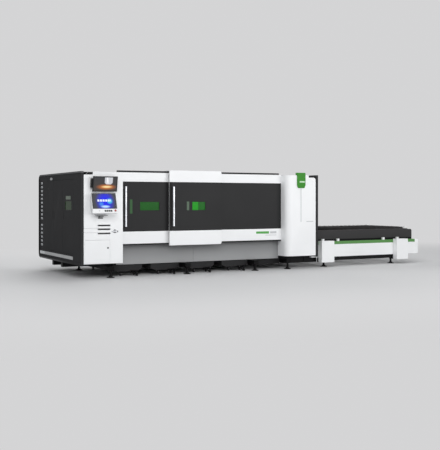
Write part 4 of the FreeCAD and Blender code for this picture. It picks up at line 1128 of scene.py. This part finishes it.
def rack(box):
    """A rack: along its top, each pitch holds a flat tip and a flat root joined by slopes."""
    pitch, tooth_height = 12.566 * MM, 9 * MM
    count = int(box.width / pitch)
    starts = box.left + pitch * np.arange(count)
    root = box.top - tooth_height
    steps = [(0.0, root), (0.2, root), (0.38, box.top), (0.82, box.top)]
    across = np.stack([starts + share * pitch for share, _ in steps], 1).ravel()
    along = np.tile([level for _, level in steps], count)
    outline = np.stack([across, along], 1)
    last = box.left + count * pitch
    end = [(last, root), (box.right, root), (box.right, box.bottom), (box.left, box.bottom)]
    return prism("y", np.concatenate([outline, end]), box.front, box.back)


def gantry():
    """The gantry beam, the head carriage with its cover, and the turned cutting head."""
    softened("gantry_beam", white, 3 * MM)
    softened("head_carriage", charcoal, 5 * MM)
    box = block_of("head_carriage")
    rim, sunk, proud = 14 * MM, box.right - 0.5 * MM, box.right + 0.2 * MM
    cover = slab("x", *wider(box.seen("x"), -rim), sunk, proud, radius=10 * MM)
    piece("carriage_cover", [cover], "carriage_body", black)
    head = block_of("cutting_head")
    low = (head.x, head.y, head.bottom)
    shoulder = head.top - 60 * MM
    tip = mm((1, 0), (4, 0), (6, 3), (14, 22), (14, 30), (19, 32), (19, 52), (26, 62), (34, 70), (34, 120))
    band = mm((34, 121), (40, 125), (40, 190), (36, 194))
    neck = mm((30, 0), (30, 34), (22, 40), (14, 44), (14, 60))
    nozzle = [turned(tip, low), turned(band, low), turned(neck, (head.x, head.y, shoulder), sides=40)]
    piece("head_nozzle", nozzle, "head_body", steel, replaces=("cutting_head",))
    band_top = head.bottom + 196 * MM
    shell = slab("z", head.left, head.right, head.front, head.back, band_top, shoulder, radius=16 * MM)
    inset, seat_low, seat_top = 10 * MM, head.bottom + 124 * MM, shoulder - 4 * MM
    seat = slab(
        "x", head.front + inset, head.back - inset, seat_low, seat_top, head.left, head.x, radius=4 * MM
    )
    piece("head_shell", [shell, seat], "head_body", plastic, replaces=("cutting_head",), bevel=2 * MM)


# ---- back, roof and inner pieces ----
def screws(name, places, axis):
    """Domed screw heads at the places, standing out along an axis: a low profile turned about it."""
    dome = mm((8, -0.4), (8, 0.6), (6.4, 2), (2.8, 2.9))
    piece(name, [repeated(turned(dome, axis=axis, sides=12), places)], "root", steel)


def seam_screws():
    """Rows of screws down both edges of each rear panel and across each roof panel."""
    edge = 42 * MM
    low_gap, top_gap, count_behind = 230 * MM, 60 * MM, 6
    front_gap, back_gap, count_above = 80 * MM, 240 * MM, 9
    behind = []
    above = []
    for box in solid_blocks("rear_panels"):
        rows = np.linspace(box.bottom + low_gap, box.top - top_gap, count_behind)
        behind += [(x, box.back, z) for x in (box.left + edge, box.right - edge) for z in rows]
    for box in solid_blocks("roof_panels"):
        rows = np.linspace(box.front + front_gap, box.back - back_gap, count_above)
        above += [(x, y, box.top) for x in (box.left + edge, box.right - edge) for y in rows]
    screws("rear_screws", behind, "y")
    screws("roof_screws", above, "z")


def rear():
    """The rear and roof panels and the plain inner pieces, each with its finish and its round in mm."""
    seam_screws()
    for node, finish, bevel in (
        ("rear_panels", end_grey, 3),
        ("roof_panels", charcoal, 3),
        ("skirt_panels", skirt_grey, 2),
        ("bed_side_beams", bed_grey, 3),
        ("bed_cross_members", bed_grey, 4),
        ("laser_source", laser_white, 5),
        ("drive_modules", drive_grey, 1.5),
        ("console_arm", black, 2),
        ("pallet_rails", guard_dark, 3),
        ("pallet_gate", black, 2),
        ("door_tracks", charcoal, 1.5),
    ):
        softened(node, finish, bevel * MM)


def rollers():
    """The pale guide blocks on the table, each with a dark roller on a pin."""
    node = "pallet_guide_rollers"
    roller_width = 55 * MM
    blocks = []
    tops = []
    for box in solid_blocks(node):
        if box.width > roller_width:
            plan = (box.left, box.right, box.front, box.back)
            blocks.append(slab("z", *plan, box.bottom, box.top, radius=8 * MM))
        else:
            radius, height = box.width / 2, box.height
            tread = [(0.5 * radius, 0), (0.5 * radius, 3 * MM), (radius, 4 * MM), (radius, 0.8 * height)]
            cap = [(0.9 * radius, 0.86 * height), (0.4 * radius, 0.88 * height), (0.35 * radius, height)]
            tops.append(turned(tread + cap, (box.x, box.y, box.bottom), sides=32))
    piece("guide_blocks", blocks, "root", white, replaces=(node,), bevel=4 * MM)
    piece("guide_rollers", tops, "root", plastic, replaces=(node,))


def bar(box, start, end, low, high, radius=0.0):
    """A thin plate on a box's front: between two distances from its right side, in millimetres."""
    left, right = box.right - start * MM, box.right - end * MM
    proud, sunk = box.front - 0.5 * MM, box.front + 1 * MM
    return slab("y", left, right, low, high, proud, sunk, radius)


def bars():
    """Plain bars on the fixed panel and on the column."""
    panel = block_of("fixed_front_panel")
    low = panel.bottom + 150 * MM
    high = low + 52 * MM
    piece("plain_green_bar", [bar(panel, 680, 330, low, high, radius=10 * MM)], "root", stripe_green)
    short = bar(panel, 300, 130, low, high, radius=10 * MM)
    thin = bar(panel, 430, 130, low - 44 * MM, low - 30 * MM)
    line = bar(block_of("right_column"), 262, 70, 1096 * MM, 1112 * MM)
    piece("plain_grey_bars", [short, thin, line], "root", pale_bar)


bpy.context.scene.view_settings.view_transform = "Standard"
studio()
camera()

white_tone = paint(243, 244, 245)
end_tone = paint(56, 56, 57)
skirt_box = block_of("skirt_panels")
behind_skirt = skirt_box.front - 2 * MM
white = powder_coat("white_powder_coat", "white_paint", white_tone)
charcoal = powder_coat("charcoal_powder_coat", "dark_paint", paint(37, 37, 38), 0.5, gloss=0.2)
end_grey = powder_coat("end_grey_powder_coat", "dark_paint", end_tone, 0.65, gloss=0.02)
# the skirt grey grows lighter towards its bottom: painted light bounced up from the floor
skirt_grey = powder_coat(
    "skirt_grey_powder_coat", "grey_paint", paint(124, 125, 126), gloss=0.3,
    fields=[(lambda x, y, z: (skirt_box.top - z).ramp(0.0, skirt_box.height), paint(156, 157, 158))],
)
# faces that stand in front of the skirt turn near-black: painted shade
bed_grey = powder_coat(
    "bed_black_powder_coat", "frame_steel", paint(31, 31, 32), 0.5, gloss=0.12,
    fields=[(lambda x, y, z: y < behind_skirt, paint(7, 7, 8))],
)
black = powder_coat("black_powder_coat", "black_steel", paint(14, 14, 15), 0.5, gloss=0.15)
steel = ground_steel("ground_steel", paint(190, 192, 195))
slat_steel = burnt_steel("burnt_slat_steel", paint(64, 62, 64), paint(50, 47, 46))
plastic = moulded("black_moulding", "black_plastic", paint(24, 25, 27))
red = moulded("red_moulding", "red_plastic", paint(160, 22, 20), 0.35)
green_lamp = moulded("green_lamp_moulding", "green_lamp", paint(75, 150, 65), 0.3)
green_glass = filter_glass("filter_glass", paint(17, 86, 19))
window_box = block_of("outer_door_window")
window_split = window_box.left + 0.46 * window_box.width
split_glass = filter_glass("split_filter_glass", paint(17, 98, 21), paint(24, 142, 24), window_split)
dim_glass = filter_glass("dim_filter_glass", paint(32, 56, 28), gloss=0.05)

gasket_rubber = moulded("gasket_rubber", "black_plastic", paint(20, 20, 21), 0.75, 300.0)
painted_shade_rubber = moulded("painted_shade_rubber", "black_plastic", paint(9, 9, 10), 0.8)
handle_aluminium = ground_steel("brushed_aluminium", paint(228, 230, 234), 0.34, (60, 60, 1))
fin_pale = powder_coat("pale_louvre_coat", "grey_paint", paint(205, 208, 210))
fender_grey = powder_coat("fender_grey_powder_coat", "grey_paint", paint(176, 177, 178))
bracket_grey = powder_coat("bracket_grey_powder_coat", "grey_paint", paint(120, 121, 122))
badge_grey = powder_coat("badge_grey_lacquer", "grey_paint", paint(150, 151, 152))
light_line = moulded("diffuser_grey", "grey_paint", paint(200, 203, 204), 0.3)
left_label = moulded("green_film", "green_glass", paint(26, 80, 30), 0.5)
outer_label = moulded("grey_green_film", "green_glass", paint(70, 92, 72), 0.45)
end_label = moulded("pale_green_film", "green_glass", paint(92, 106, 92), 0.5)

dark_right, dark_bottom = -433.5 * MM, 2123.5 * MM
seam_right, half_seam = -330 * MM, 1.5 * MM
cabinet_white = powder_coat(
    "cabinet_white_powder_coat", "white_paint", white_tone,
    fields=[(lambda x, y, z: (z > dark_bottom) * (x < dark_right), paint(31, 31, 32))],
    grooves=[
        lambda x, y, z, level=level: z.between(*about(level, half_seam)) * (x < seam_right)
        for level in (1031 * MM, 945 * MM)
    ],
)
cart_steel = powder_coat("cart_charcoal_coat", "black_steel", paint(42, 42, 43), 0.55, gloss=0.15)
pallet_paint = burnt_steel("burnt_frame_steel", paint(80, 78, 80), paint(66, 63, 62))
guard_dark = powder_coat("guard_charcoal_coat", "dark_steel", paint(56, 55, 56), 0.5, gloss=0.2)
dark_handle = moulded("dark_handle_moulding", "black_plastic", paint(112, 113, 115), 0.45)
laser_white = powder_coat("laser_source_coat", "white_paint", paint(226, 228, 230))
drive_grey = moulded("drive_housing", "black_plastic", paint(58, 60, 63))
stripe_green = powder_coat("green_bar_paint", "green_lamp", paint(70, 160, 62))
pale_bar = powder_coat("grey_bar_paint", "grey_paint", paint(196, 198, 200))

shell = block_of("left_end_cover")
# bands on the left end's shell: painted shade inside its back rim, painted highlights along its top and its
# lower back edge
rim_shade_front, rim_shade_back = shell.back - 90 * MM, shell.back - 12 * MM
top_highlight_from, bottom_highlight_to = shell.top - 32 * MM, shell.bottom + 30 * MM
low_highlight_front, low_highlight_back = 0.4, 1.8
rim_lit_and_shaded_grey = powder_coat(
    "rim_grey_powder_coat", "dark_paint", end_tone, 0.65, gloss=0.02,
    fields=[
        (lambda x, y, z: y.between(rim_shade_front, rim_shade_back), paint(26, 26, 27)),
        (lambda x, y, z: z > top_highlight_from, paint(102, 102, 103)),
        (lambda x, y, z: (z < bottom_highlight_to) * y.ramp(low_highlight_front, low_highlight_back), paint(102, 102, 103)),
    ],
)
hole_pitch, hole_radius = 12 * MM, 3 * MM
vent_back = slots("end_vent_grille")[0][1]
# behind the vent's openings the panel turns near-black: painted shade inside the raised rim
shade_front, holes_front = vent_back + 12 * MM, vent_back + 20 * MM


def perforation(x, y, z):
    """One in round holes at a pitch both ways, behind the vent's openings."""
    across = (y.repeat(hole_pitch) - hole_pitch / 2) ** 2
    along = (z.repeat(hole_pitch) - hole_pitch / 2) ** 2
    return ((across + along) ** 0.5 < hole_radius) * (y > holes_front)


perforated_grey = powder_coat(
    "perforated_grey_powder_coat", "dark_paint", end_tone, 0.65, gloss=0.02,
    fields=[(lambda x, y, z: y > shade_front, paint(20, 20, 21))],
    grooves=[perforation],
)
lamp_box = block_of("status_lamp")
plate_left = lamp_box.left + 0.28 * lamp_box.width
plate_right = lamp_box.left + 0.88 * lamp_box.width
plate_bottom, plate_top = 2012 * MM, 2047 * MM


def lamp_plate(x, y, z):
    """One on the plain pale bar across the lamp's front."""
    return z.between(plate_bottom, plate_top) * x.between(plate_left, plate_right)


lamp_green = powder_coat(
    "lamp_green_lacquer", "green_lamp", paint(52, 134, 32), 0.4, gloss=0.22,
    fields=[(lamp_plate, paint(196, 226, 192))],
)
beam_box = block_of("table_side_beams")
stripe_bottom = beam_box.top - 73 * MM
stripe_right = beam_box.right - 110 * MM
striped_white = powder_coat(
    "striped_white_powder_coat", "white_paint", white_tone,
    fields=[(lambda x, y, z: (z > stripe_bottom) * (x < stripe_right), paint(82, 138, 70))],
)

# every node is white until it gets its own finish
coat(white, *frame["nodes"])
coat(charcoal, "left_door_infill", "outer_door_infill", "fixed_panel_infill", "roof_panels", "door_tracks")
coat(end_grey, "right_end_cover", "left_end_cover", "end_vent_grille", *END_DOORS)
coat(skirt_grey, "skirt_panels", "end_bumper_rail")
coat(bed_grey, "bed_side_beams", "bed_cross_members")
coat(black, "levelling_feet", "table_underframe", "pallet_rails", "pallet_gate", "console_arm")
coat(steel, "x_guide_rails", "left_door_handle", "outer_door_handle", "cutting_head")
coat(slat_steel, "upper_pallet", "lower_pallet")
coat(plastic, "monitor", "console", "isolator_handle", "drive_modules", "head_carriage")
coat(green_lamp, "status_lamp")
coat(green_glass, "left_door_window")
coat(split_glass, "outer_door_window")
coat(dim_glass, "end_door_window")
coat(red, "emergency_stop")
coat(black, *CARTS, *DRAWBARS)
coat(plastic, *BUTTONS)

screens()
doors()
cabinet()
end_cover()
column()
table()
rollers()
feet()
carts()
pallets()
linear_guides()
gantry()
rear()
bars()
